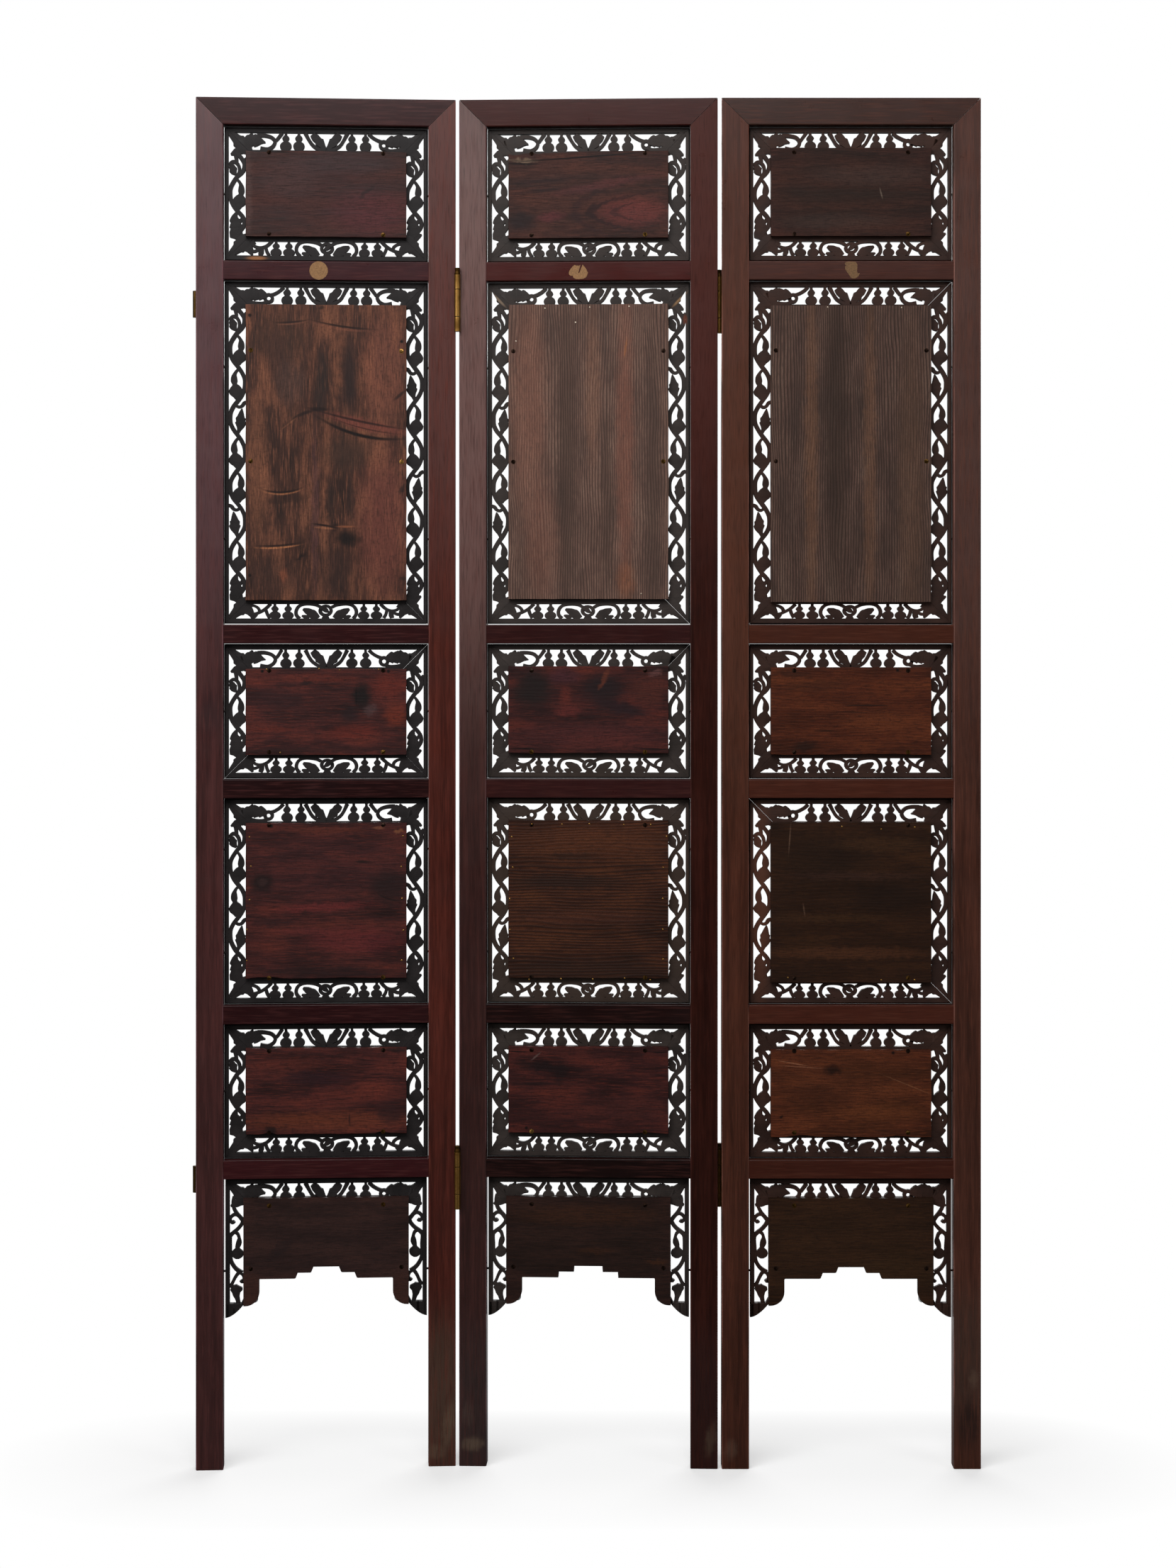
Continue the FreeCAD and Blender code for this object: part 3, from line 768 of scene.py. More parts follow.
def sweep(bm, rings, low, high, section):
    """Draw a section along rings of (middle, across) in the plan, from one depth to another."""
    face = None
    before = None
    for middle, across in rings:
        here = Matrix(
            (
                (across.x, 0, -across.y, middle.x),
                (across.y, 0, across.x, middle.y),
                (0, high - low, 0, low),
                (0, 0, 0, 1),
            )
        )
        if face is None:
            face = bm.faces.new([bm.verts.new(here @ Vector((s, d, 0))) for s, d in section])
        else:
            grown = bmesh.ops.extrude_face_region(bm, geom=[face])
            face = next(part for part in grown["geom"] if isinstance(part, bmesh.types.BMFace))
            bmesh.ops.transform(bm, matrix=here @ before.inverted(), verts=face.verts)
        before = here


def smooth_rings(points, steps):
    """Rings of a member that passes smoothly through (along, across, half width) points."""
    knots = [Vector(point) for point in points]
    knots = [knots[0]] + knots + [knots[-1]]
    spots = []
    for a, b, c, d in zip(knots, knots[1:], knots[2:], knots[3:]):
        for step in range(steps):
            t = step / steps
            spots.append(
                b + (c - a) * t / 2 + (a - 2.5 * b + 2 * c - d / 2) * t**2
                + (3 * b - a - 3 * c + d) * t**3 / 2
            )
    spots.append(knots[-1])
    rings = []
    for i, spot in enumerate(spots):
        ahead = spots[min(i + 1, len(spots) - 1)] - spots[max(i - 1, 0)]
        normal = Vector((-ahead.y, ahead.x)).normalized()
        rings.append((spot.xy, normal * max(spot.z, 0.3)))
    return rings


def motif(members, stem, lift):
    """Mesh of a carved motif in plan millimetres; the lift keeps crossing flat backs apart."""
    bm = bmesh.new()
    for number, (kind, points) in enumerate(members):
        low = lift + 0.05 * number
        full = stem / 2 if kind == "stem" else FULLNESS
        points = [(u, v, share * full) for u, v, share in points]
        steps, drop = {"stem": (3, 1.2), "leaf": (2, 0.6), "gourd": (3, 0.2)}[kind]
        sweep(bm, smooth_rings(points, steps), low, SURROUND_DEPTH - drop - low, CARVED)
    mesh = bpy.data.meshes.new("motif")
    bm.to_mesh(mesh)
    bm.free()
    return mesh


def press(bm, mesh, *places):
    """Add a copy of a motif to a bmesh at each placement."""
    for place in places:
        before = len(bm.verts)
        bm.from_mesh(mesh)
        bm.verts.ensure_lookup_table()
        bmesh.ops.transform(bm, matrix=place, verts=bm.verts[before:])


def at(u, v, turn=0.0, flip_u=False, flip_v=False, stretch=1.0):
    """Placement of a motif in the plan."""
    flips = Matrix.Diagonal((-stretch if flip_u else stretch, -1 if flip_v else 1, 1, 1))
    return Matrix.Translation((u, v, 0)) @ Matrix.Rotation(math.radians(turn), 4, "Z") @ flips


def circle_points(u, v, radius, width, sweep_angle, count):
    """Points round a circle from its right side, angle in degrees."""
    points = []
    for i in range(count + 1):
        angle = math.radians(sweep_angle * i / count)
        points.append((u + radius * math.cos(angle), v + radius * math.sin(angle), width))
    return points


# The patterns that the carver repeats. A member is its kind and its points (u, v, half width):
# u runs along the strip, v from its outer edge. The width of a stem is a share of the vine's.
MOTIFS = {
    "gourd": [
        ("gourd", [
            (0, 4, 1.8), (0, 7.4, 1.8), (0, 9.4, 3.5), (0, 12, 4.7), (0, 14.4, 3.6), (0, 15.8, 2.9),
            (0, 18, 5.7), (0, 21.4, 7.3), (0, 25, 6.6), (0, 27.6, 4),
        ]),
    ],
    "V leaf": [
        ("leaf", [
            (0.5, 27.5, 2.5), (4, 23, 3.4), (7.5, 18.6, 5.2), (9.6, 16.2, 6.3), (11.2, 14.2, 4.9),
            (14.6, 10.4, 5.2), (18.4, 6, 3.6),
        ]),
        ("stem", [
            (-2, 24.6, 0.7), (4, 26.6, 0.8), (11, 25.6, 0.8), (18.5, 20.6, 0.8), (23.6, 13, 0.8),
            (28, 4.5, 1),
        ]),
    ],
    "ring leaf": [
        ("stem", [(57, 4.6, 0.9), (62, 9.4, 0.8), (69, 13.4, 0.8), (74, 15, 0.8)]),
        ("stem", circle_points(77, 19.4, 4.8, 0.8, 380, 14)),
        ("leaf", [
            (79, 17.6, 2.7), (83.5, 15.6, 5.2), (88, 14.6, 7.6), (90, 14.6, 6.3), (96, 14.2, 8.3),
            (98.4, 14.6, 6.7), (104.6, 15.6, 7.8), (108, 16.6, 6.3), (114, 18.4, 5.8),
            (121, 20, 3.4),
        ]),
        ("stem", [(78, 24, 0.8), (86, 26.4, 0.8), (98, 25.6, 0.9), (106, 22, 1)]),
    ],
    "scroll leaf": [
        ("stem", [
            (92, 8.6, 1), (83, 8.2, 0.9), (73.5, 10.4, 0.85), (68.4, 16, 0.85), (70.6, 22.4, 0.85),
            (78, 26.6, 0.9), (88, 25.4, 1),
        ]),
        ("leaf", [
            (81, 17.6, 0.7), (86, 16.2, 3.1), (90, 15.4, 6), (95, 14.6, 8.1), (97.6, 14.4, 6.5),
            (103, 15.4, 7.8), (106.4, 16.6, 6), (113, 18.6, 5.6), (121, 20, 3.4),
        ]),
        ("stem", [(59, 4.4, 0.9), (63, 10, 0.8), (67, 15, 0.8)]),
    ],
    "middle ring": [
        ("stem", circle_points(1, 16.6, 7.2, 0.85, 380, 16)),
        ("leaf", [(1, 3.6, 5.4), (1, 7.2, 4), (1, 10.4, 2.5)]),
        ("leaf", [(-3, 14, 1.1), (0, 16, 2.9), (3, 19, 3.4), (6, 22, 1.8)]),
    ],
    "loop leaf": [
        ("stem", [
            (36, 4.4, 1), (40, 11, 0.85), (39.6, 18.6, 0.85), (35, 25, 0.85), (26, 27.4, 0.85),
            (14, 26, 0.85), (7, 22, 0.85),
        ]),
        ("leaf", [
            (12, 4, 4.5), (16, 8.6, 6), (20, 12.4, 6.9), (22, 14.2, 5.4), (25.6, 16.4, 4.7),
            (31, 19.6, 1.6),
        ]),
        ("leaf", [(24, 4, 2.9), (28, 7, 3.4), (33, 9, 1.1)]),
    ],
    "ring stems": [
        ("stem", [
            (74, 27.5, 0.9), (80, 20.6, 0.85), (88, 14.6, 0.85), (96, 11.4, 0.85), (104, 13, 1),
            (112, 18, 1.2),
        ]),
        ("stem", [
            (89, 14.4, 0.8), (91, 20.6, 0.8), (97.5, 24.8, 0.8), (104, 23, 0.9), (109, 19, 1),
        ]),
        ("stem", [(81, 19.6, 0.8), (79, 12, 0.8), (75.6, 5, 0.9)]),
        ("leaf", [(92, 11, 1.1), (96, 8, 3.4), (101, 5, 2.7)]),
    ],
    "curl stems": [
        ("stem", [
            (72.6, 27.5, 0.9), (79, 20, 0.85), (87, 16.6, 0.85), (94.6, 18.6, 0.8),
            (98.4, 23.6, 0.9), (95.4, 26.4, 1.4),
        ]),
        ("stem", [(86, 16.8, 0.8), (95, 11.4, 0.85), (104, 13, 1), (113, 18, 1.2)]),
        ("stem", [(81, 18.6, 0.8), (79.4, 11, 0.8), (76.4, 5, 0.9)]),
        ("leaf", [(84, 15, 1.1), (86.6, 10, 3.4), (88, 5, 2.7)]),
    ],
    "corner leaf": [
        ("leaf", [
            (34, 34, 3.8), (29, 29, 7.2), (24, 24, 10.1), (22, 22, 8.3), (17.6, 17.6, 9),
            (15.8, 15.8, 6.7), (11, 11, 5.2), (2, 2, 2.5),
        ]),
        ("leaf", [
            (25, 25, 4.9), (20, 29.5, 6.3), (18.6, 30.6, 4.9), (13.6, 33, 4.5), (7, 36, 1.1),
        ]),
        ("leaf", [
            (25, 25, 4.9), (29.5, 20, 6.3), (30.6, 18.6, 4.9), (33, 13.6, 4.5), (36, 7, 1.1),
        ]),
    ],
    "hanging gourd": [
        ("gourd", [
            (-20.6, 13.6, 1.7), (-17, 17.6, 1.8), (-13, 20, 2.3), (-8.6, 21, 3.7), (-3, 20.9, 4.2),
            (1, 20.2, 3.1), (4, 19.6, 5.9), (8.4, 19, 8.5), (13, 18.9, 7.8), (17, 18.4, 3.8),
            (20.6, 17.8, 1.7),
        ]),
    ],
    "bay leaf": [
        ("leaf", [
            (21, 15.8, 1.9), (15.6, 18, 2.7), (10.6, 19.6, 5.4), (6, 20.2, 7.2), (4, 20.2, 5.8),
            (0, 20.2, 6.3), (-2, 20.4, 4.7), (-7.6, 21.2, 2.9), (-13, 22, 0.6),
        ]),
        ("stem", [
            (-19, 12.4, 0.75), (-15, 17.4, 0.7), (-16.4, 22, 0.8), (-20, 24.6, 0.9),
            (-21.6, 28.4, 0.8),
        ]),
    ],
    "top curl": [
        ("stem", [
            (1, 15.4, 0.9), (6.6, 13.6, 0.8), (13, 14.6, 0.8), (17.6, 18.6, 0.8), (18, 23.4, 0.8),
            (14, 27.6, 0.8),
        ]),
        ("leaf", [
            (2.4, 18, 1.3), (5.6, 20.8, 4), (8.6, 22.2, 5.4), (10.4, 23, 4.3), (13, 24.4, 3.8),
            (15.6, 25.6, 1.3),
        ]),
        ("leaf", [(17, 9, 1.6), (19.6, 6, 3.1), (23, 3.6, 2.2)]),
        ("stem", [(17, 17.6, 0.8), (23, 18.4, 0.9), (30, 20, 1)]),
    ],
    "bracket": [
        ("stem", [
            (23.6, 11.6, 0.85), (30.1, 10.2, 0.8), (38.1, 11.3, 0.8), (45.4, 15.3, 0.85),
            (51.5, 20.3, 0.9), (56.3, 23.3, 1), (61.7, 20.9, 0.85), (67.6, 15.7, 0.85),
            (72.8, 9, 0.9), (77.5, 5.8, 1), (89.1, 6.2, 0.9), (99.3, 6.4, 0.85), (109.5, 7.7, 0.85),
            (117.5, 12, 0.85), (122.3, 17, 0.9), (125.5, 22, 1),
        ]),
        ("stem", [
            (51.5, 20.3, 0.9), (48, 16.7, 0.8), (47.2, 12.4, 0.75), (49.8, 8.2, 0.75),
            (54, 6.2, 0.75), (58.1, 9.3, 0.7), (56.3, 11.9, 0.8),
        ]),
        ("stem", [(72, 10, 0.8), (71.2, 12.7, 0.7), (73.8, 16.6, 0.7), (78.9, 18.4, 0.7)]),
        ("gourd", [
            (78.9, 18.4, 1.9), (84.7, 18, 3.7), (89.8, 16.3, 3.1), (92.7, 15.9, 2.9),
            (96.4, 15.9, 6.6), (99.6, 15.9, 7.6), (103.7, 15.8, 6.2), (106.6, 15.8, 2),
        ]),
        ("stem", [
            (124, 21, 0.9), (125.5, 17, 0.8), (131.3, 13.2, 0.75), (137.9, 10.2, 0.75),
            (144.4, 6.5, 0.9),
        ]),
        ("stem", [(126.2, 22.8, 0.9), (131.3, 24.9, 0.8), (137.9, 23.3, 0.7), (135.4, 20.9, 0.8)]),
        ("leaf", [
            (145.2, 7.2, 2.5), (146.6, 10.7, 5), (148, 15, 6.5), (147.4, 19.4, 4), (146.8, 23, 1.5),
        ]),
        ("leaf", [(148.8, 14.4, 6), (154.6, 14.9, 4.6), (159, 16, 3), (166.4, 17.6, 2.6)]),
    ],
    "foot leaf": [
        ("leaf", [
            (2, 17.6, 1.6), (7, 20, 4), (11.6, 20, 6.7), (13.4, 19.6, 5.4), (19, 18.6, 8.3),
            (21, 18.4, 6.7), (27, 18.4, 8.5), (34, 20, 6.7),
        ]),
        ("stem", [(9, 9.6, 0.8), (13, 13, 0.8), (17, 17, 0.8)]),
    ],
}
# Motifs of the level strips, drawn about the strip's middle, as (name, mirrored)
TOP_MOTIFS = (("V leaf", False), ("V leaf", True), ("ring leaf", False), ("scroll leaf", True))
FOOT_MOTIFS = (
    ("middle ring", False),
    ("loop leaf", False),
    ("loop leaf", True),
    ("ring stems", False),
    ("curl stems", True),
)
TOP_GOURDS = (-54, -36.5, 34, 52.5)
FOOT_GOURDS = (-67, -50, 51, 68.5)
# Distances from the strip's outer edge between which the level motifs are drawn
DRAWN_FROM, DRAWN_TO = 4, 27.6
# Lengths at which a bay of an upright strip, and the motif at either end of its vine, are drawn
DRAWN_BAY, DRAWN_END = 46, 30
# How far the carving bites into the rims
BITE = 0.3
# Width between the middles of the two rims, in which the vine swings
BAND = 32.6
# Swing of the vine at its head, in a bay and at its foot, as (share of the length, off the rim)
HEAD_SWING = ((0, 18), (0.2, 12.6), (0.45, 7.4), (0.7, 8), (0.88, 12))
BAY_SWING = ((0, 16.3), (0.16, 11), (0.33, 7.2), (0.5, 6.4), (0.67, 7.2), (0.84, 11))
FOOT_SWING = ((0, 16.3), (0.14, 12), (0.32, 8), (0.56, 7.4), (0.8, 12.6), (1, 18))
# Outer rim of a level strip, and where the plain band beside the board begins at head and foot
LEVEL_RIM = 6.2
HEAD_BAND = 29.6
FOOT_BAND = 25.4
# Outer rim of an apron bracket
BRACKET_RIM = 5.8
# How far inside a board's edge the plain band of an upright strip or an apron begins
BAND_LAP = 0.6
# Width of a strip with its lip over the plaque, and how much of it is that lip alone
STRIP_WIDTH = BOARD_EDGE + 15
PLAQUE_LIP = 5
# Depth of the plaque's front face in a surround
PLAQUE_SEAT = PLAQUE_FRONT - SURROUND_BACK
# Corner of a surround that the vines of the upright strips keep out of
CORNER = 33
# Half of the open line at the mitres of the carving and of the rims
CARVING_LINE, RIM_LINE = 0.15, 0.12
# How far the front edge of a rim reaches into the joint with the frame
LIP = 1.7
# The same where the joint stands open under a surround, so that light shows through it
OPEN_LIP = 0.9
OPEN_JOINTS = (("left", "large"), ("middle", "large"))
# Length of carving over which the hand strays one way
HAND_STROKE = 19


def level_strip(bm, motifs, foot, mirrored):
    """Carving of a level strip between its rims; the gourds hang from its upper edge."""
    room = (FOOT_BAND if foot else HEAD_BAND) - LEVEL_RIM + 2 * BITE
    squeeze = room / (DRAWN_TO - DRAWN_FROM)
    start = LEVEL_RIM - BITE - DRAWN_FROM * squeeze
    fit = Matrix.Translation((0, start, 0)) @ Matrix.Diagonal((1, squeeze, 1, 1))
    for name, turned in FOOT_MOTIFS if foot else TOP_MOTIFS:
        press(bm, motifs[name], fit @ at(0, 0, flip_u=turned != mirrored))
    root = DRAWN_FROM + DRAWN_TO if foot else 0
    for u in FOOT_GOURDS if foot else TOP_GOURDS:
        press(bm, motifs["gourd"], fit @ at(-u if mirrored else u, root, flip_v=foot))


def upright_strip(bm, motifs, half_span, pitch, stem, first):
    """Carving of an upright strip: a vine swings from rim to rim, a gourd or leaf in each bay."""
    count = 2 * math.floor((2 * half_span - pitch) / pitch / 2) + 1
    half = count * pitch / 2
    reach = half_span - half
    vine = []

    def swing(points, low, length, odd):
        for along, v in points:
            vine.append((-low - along * length, BAND - v if odd else v, stem / 2))

    start = (first + 1) % 2 == 1
    swing(HEAD_SWING, -half - reach, reach, start)
    for bay in range(count):
        odd = (bay + first) % 2 == 1
        centre = (bay - (count - 1) / 2) * pitch
        swing(BAY_SWING, centre - pitch / 2, pitch, odd)
        name = "bay leaf" if (bay + first) % 3 == 2 else "hanging gourd"
        rim = BAND if odd else 0
        stretch = pitch / DRAWN_BAY
        press(bm, motifs[name], at(-centre, rim, flip_u=True, flip_v=odd, stretch=stretch))
    end = (first + count) % 2 == 1
    swing(FOOT_SWING, half, reach, end)
    sweep(bm, smooth_rings(vine, 3), 0.22, SURROUND_DEPTH - 1.4, CARVED)
    stretch = reach / DRAWN_END
    curl = at(half, BAND if start else 0, flip_v=start, stretch=stretch)
    leaf = at(-half, BAND if end else 0, flip_u=True, flip_v=end, stretch=stretch)
    press(bm, motifs["top curl"], curl)
    press(bm, motifs["foot leaf"], leaf)


def rims(bm, half_length, outer_rim, band, lip):
    """Outer rim and its lip, the band beside the board and the lip over the plaque, all mitred."""
    depth = SURROUND_DEPTH
    for v0, v1, near, far in (
        (0, outer_rim, 0, depth),
        (-lip, 0.6, depth - 3.6, depth - 0.4),
        (band, STRIP_WIDTH - PLAQUE_LIP, 0.15, depth - 0.1),
        (STRIP_WIDTH - PLAQUE_LIP - 0.4, STRIP_WIDTH, PLAQUE_SEAT + 0.1, depth - 1.2),
    ):
        middle = (v0 + v1) / 2
        half = (v1 - v0) / 2
        end = half_length - middle - RIM_LINE
        rings = [
            (Vector((-end, middle)), Vector((half, half))),
            (Vector((end, middle)), Vector((-half, half))),
        ]
        sweep(bm, rings, near, far, PLAIN)


def stray(bm, seed, reach):
    """Let the carving wander from its pattern by hand."""
    shift = Vector((seed * 7.3, seed * 3.1, 0))
    for vert in bm.verts:
        spot = Vector((vert.co.x, vert.co.y, 0)) / HAND_STROKE + shift
        vert.co.x += reach * noise.noise(spot)
        vert.co.y += reach * noise.noise(spot + Vector((41, 17, 0)))


def on_leaf(x, z, along, inward):
    """Placement of a strip's plan from its start, the way it runs and its way in, as (x, z)."""
    return Matrix(
        (
            (along[0], inward[0], 0, x),
            (0, 0, 1, SURROUND_BACK),
            (along[1], inward[1], 0, z),
            (0, 0, 0, 1),
        )
    )


def lay(bm, strip, place):
    """Carry a finished strip from its plan to its place."""
    mesh = bpy.data.meshes.new("strip")
    strip.to_mesh(mesh)
    strip.free()
    press(bm, mesh, place)
    bpy.data.meshes.remove(mesh)


class SCREEN_OT_surrounds(bpy.types.Operator):
    """Pierced and carved gourd-and-vine surrounds with mitred corners"""

    bl_idname = "screen.surrounds"
    bl_label = "Carved surrounds"

    def execute(self, context):
        sizes = context.scene.screen_sizes
        self.rim = sizes.outer_rim / MM
        self.pitch = sizes.motif_pitch / MM
        self.wobble = sizes.hand_wobble / MM
        self.stem = sizes.stem / MM
        self.motifs = {
            name: motif(members, self.stem, 0.02 + 0.03 * i)
            for i, (name, members) in enumerate(MOTIFS.items())
        }
        stains = {"left": "1f1b1b", "middle": "2e2724", "right": "2e1b14"}
        # Bare broken wood and lighter strips, as (spot from the leaf's foot, colour, strength)
        marks = {
            "left": [((-93, 1617, 13, 2.6), "8c5c38", 0.9)],
            "middle": [
                ((0, 757, 190, 170), "38281e", 0.8),
                ((-121, 1563, 13, 1.8, 45), "7d6a58", 0.75),
                ((122, 1562, 13, 1.8, -45), "8a6a48", 0.8),
                ((129, 1535, 3, 6), "6a3018", 0.7),
            ],
            "right": [((-122, 757, 16, 130), "5a3322", 0.6)],
        }
        for number, side in enumerate(SIDES):
            title = f"Stained hardwood {side} leaf"
            wood = carved_blackwood(title, stains[side], leaf_frame(side), marks[side])
            for index, (name, span) in enumerate(SURROUND_SPAN.items()):
                if name == "apron":
                    bm = self.apron_strips(span, number * 10 + 7)
                else:
                    foot_lip = OPEN_LIP if (side, name) in OPEN_JOINTS else LIP
                    bm = self.four_strips(span, number * 10 + index, foot_lip)
                node = f"{side}_{name}_surround"
                finish_piece(f"{node}_carving", bm, side, [wood], [node])
        for mesh in self.motifs.values():
            bpy.data.meshes.remove(mesh)
        return {"FINISHED"}

    def strip(self, half_length, carve, seed, rim, band, lip=LIP):
        """One strip in its plan: carving and corner leaves sawn at the mitres, then its rims."""
        strip = bmesh.new()
        carve(strip)
        for way in (-1, 1):
            press(strip, self.motifs["corner leaf"], at(way * half_length, 0, flip_u=way > 0))
        stray(strip, seed, self.wobble)
        for way in (-1, 1):
            mitre(strip, (way * (half_length - CARVING_LINE), 0, 0), (way, 1, 0))
        rims(strip, half_length, rim, band, lip)
        return strip

    def four_strips(self, span, seed, foot_lip):
        """Four strips of a surround in leaf millimetres."""
        low, high = span
        half = (high - low) / 2
        middle = (high + low) / 2
        bm = bmesh.new()
        for foot, z, band, lip in ((False, high, HEAD_BAND, LIP), (True, low, FOOT_BAND, foot_lip)):

            def level_carving(strip):
                level_strip(strip, self.motifs, foot, seed % 2 == 1)

            own = seed + 0.1 + foot * 0.2
            strip = self.strip(HALF_SURROUND, level_carving, own, LEVEL_RIM, band, lip)
            lay(bm, strip, on_leaf(0, z, (1, 0), (0, 1 if foot else -1)))
        for first, way in ((0, -1), (1, 1)):

            def side_carving(strip):
                upright_strip(strip, self.motifs, half - CORNER, self.pitch, self.stem, first)

            own = seed + 0.5 + first * 0.2
            strip = self.strip(half, side_carving, own, self.rim, BOARD_EDGE + BAND_LAP)
            lay(bm, strip, on_leaf(way * HALF_SURROUND, middle, (0, 1), (-way, 0)))
        return bm

    def apron_strips(self, span, seed):
        """Top strip and two brackets of the apron surround in leaf millimetres."""
        low, high = span
        depth = SURROUND_DEPTH
        drop = high - low
        curve_end = drop - BRACKET_RISE
        band = APRON_EDGE + BAND_LAP
        bm = bmesh.new()

        def top_carving(strip):
            level_strip(strip, self.motifs, False, False)

        strip = self.strip(HALF_SURROUND, top_carving, seed + 0.1, LEVEL_RIM, band)
        lay(bm, strip, on_leaf(0, high, (1, 0), (0, -1)))
        for way in (-1, 1):
            strip = bmesh.new()
            press(strip, self.motifs["bracket"], at(0, 0))
            press(strip, self.motifs["corner leaf"], at(0, 0))
            stray(strip, seed + way * 0.4, self.wobble)
            mitre(strip, (CARVING_LINE, 0, 0), (-1, 1, 0))
            # Solid foot: a full curve falls from the board's lobe to the tip at the stile
            foot = []
            for v in (*range(0, 22, 3), APRON_EDGE, APRON_EDGE + 9.6):
                end = drop - BRACKET_RISE * min(v / APRON_EDGE, 1.0) ** 1.7
                start = curve_end - (2 if v < APRON_EDGE else 8)
                foot.append((Vector(((start + end) / 2, v)), Vector(((end - start) / 2, 0))))
            sweep(strip, foot, 0.05, depth - 0.05, PLAIN)
            # Outer rim, band beside the board and the lip over the plaque, which ends with the lobe
            for v0, v1, near, far, end in (
                (0, BRACKET_RIM, 0, depth, curve_end - 1),
                (band, APRON_EDGE + 10, 0.15, depth - 0.1, curve_end - 0.5),
                (APRON_EDGE + 9.6, STRIP_WIDTH, PLAQUE_SEAT + 0.1, depth - 1.2, curve_end - 5),
            ):
                v = (v0 + v1) / 2
                half = (v1 - v0) / 2
                mitred = (Vector((v + RIM_LINE, v)), Vector((half, half)))
                sweep(strip, [mitred, (Vector((end, v)), Vector((0, half)))], near, far, PLAIN)
            lay(bm, strip, on_leaf(way * HALF_SURROUND, high, (0, -1), (-way, 0)))
        return bm


def board_sheet(bm, low, high, seed, chips):
    """Sawn board with an uneven outline, its back face towards -Y."""
    # Size of the sheet's faces, and length over which its outline wanders
    cell, wave = 6, 24
    width, height = high[0] - low[0], high[1] - low[1]
    middle_x, middle_z = (low[0] + high[0]) / 2, (low[1] + high[1]) / 2
    made = bmesh.ops.create_grid(
        bm,
        x_segments=round(width / cell),
        y_segments=round(height / cell),
        size=0.5,
        matrix=Matrix(
            (
                (width, 0, 0, middle_x),
                (0, 0, 1, BOARD_BACK),
                (0, height, 0, middle_z),
                (0, 0, 0, 1),
            )
        ),
    )
    sheet = made["verts"]
    shift = Vector((seed * 5.7, seed * 2.3, seed))
    for vert in sheet:
        x, z = vert.co.x, vert.co.z
        spot = Vector((x / wave, 0, z / wave)) + shift
        on_side = min(x - low[0], high[0] - x) < 0.1
        on_end = min(z - low[1], high[1] - z) < 0.1
        if on_side:
            vert.co.x -= math.copysign(0.35 + 0.5 * noise.noise(spot), x - middle_x)
        if on_end:
            vert.co.z -= math.copysign(0.35 + 0.5 * noise.noise(spot * 1.7), z - middle_z)
        for chip_x, chip_z, reach, depth in chips:
            near = max(0.0, 1 - abs(x - chip_x) / reach)
            if on_end and abs(z - chip_z) < 8:
                torn = depth * near * (0.8 + 0.5 * noise.noise(spot * 5))
                vert.co.z -= math.copysign(torn, z - middle_z)
        vert.co.y += 0.35 * noise.noise(spot / 3)
    faces = dict.fromkeys(face for vert in sheet for face in vert.link_faces)
    thicken(bm, faces, (0, SURROUND_BACK - BOARD_BACK - 0.4, 0))
    rim = [e for e in edges_of(sheet) if len(e.link_faces) == 2 and e.calc_face_angle() > 1]
    ease(bm, rim, 0.6, 2)


def apron_outline(half, high, trim, slant):
    """Corner points of the apron panel: a stepped arch, its steps slanted, between round lobes."""
    rise = 7.8
    step_half, arch_half, lobe_width = 40, 19.2, 21.5
    straight = APRON_STRAIGHT + trim
    lobe = HALF_SURROUND - APRON_EDGE - lobe_width + trim
    low = APRON_BOARD_LOW.z + trim
    radius = (half - lobe) * 0.88
    right = [(half, high), (half, low), (lobe + radius, low)]
    for i in range(1, 10):
        angle = math.pi / 2 * i / 10
        out, up = radius * math.sin(angle), radius * math.cos(angle)
        right.append((lobe + radius - out, low + radius - up))
    right += [(lobe, low + radius), (lobe, straight - 1.2), (lobe - 0.8, straight)]
    for edge, level in ((step_half, straight), (arch_half, straight + rise)):
        right.append((edge + slant, level))
        right.append((edge + slant * 0.3, level + slant * 0.3))
        right.append((edge - slant, level + rise))
    return right + [(-x, z) for x, z in reversed(right)]


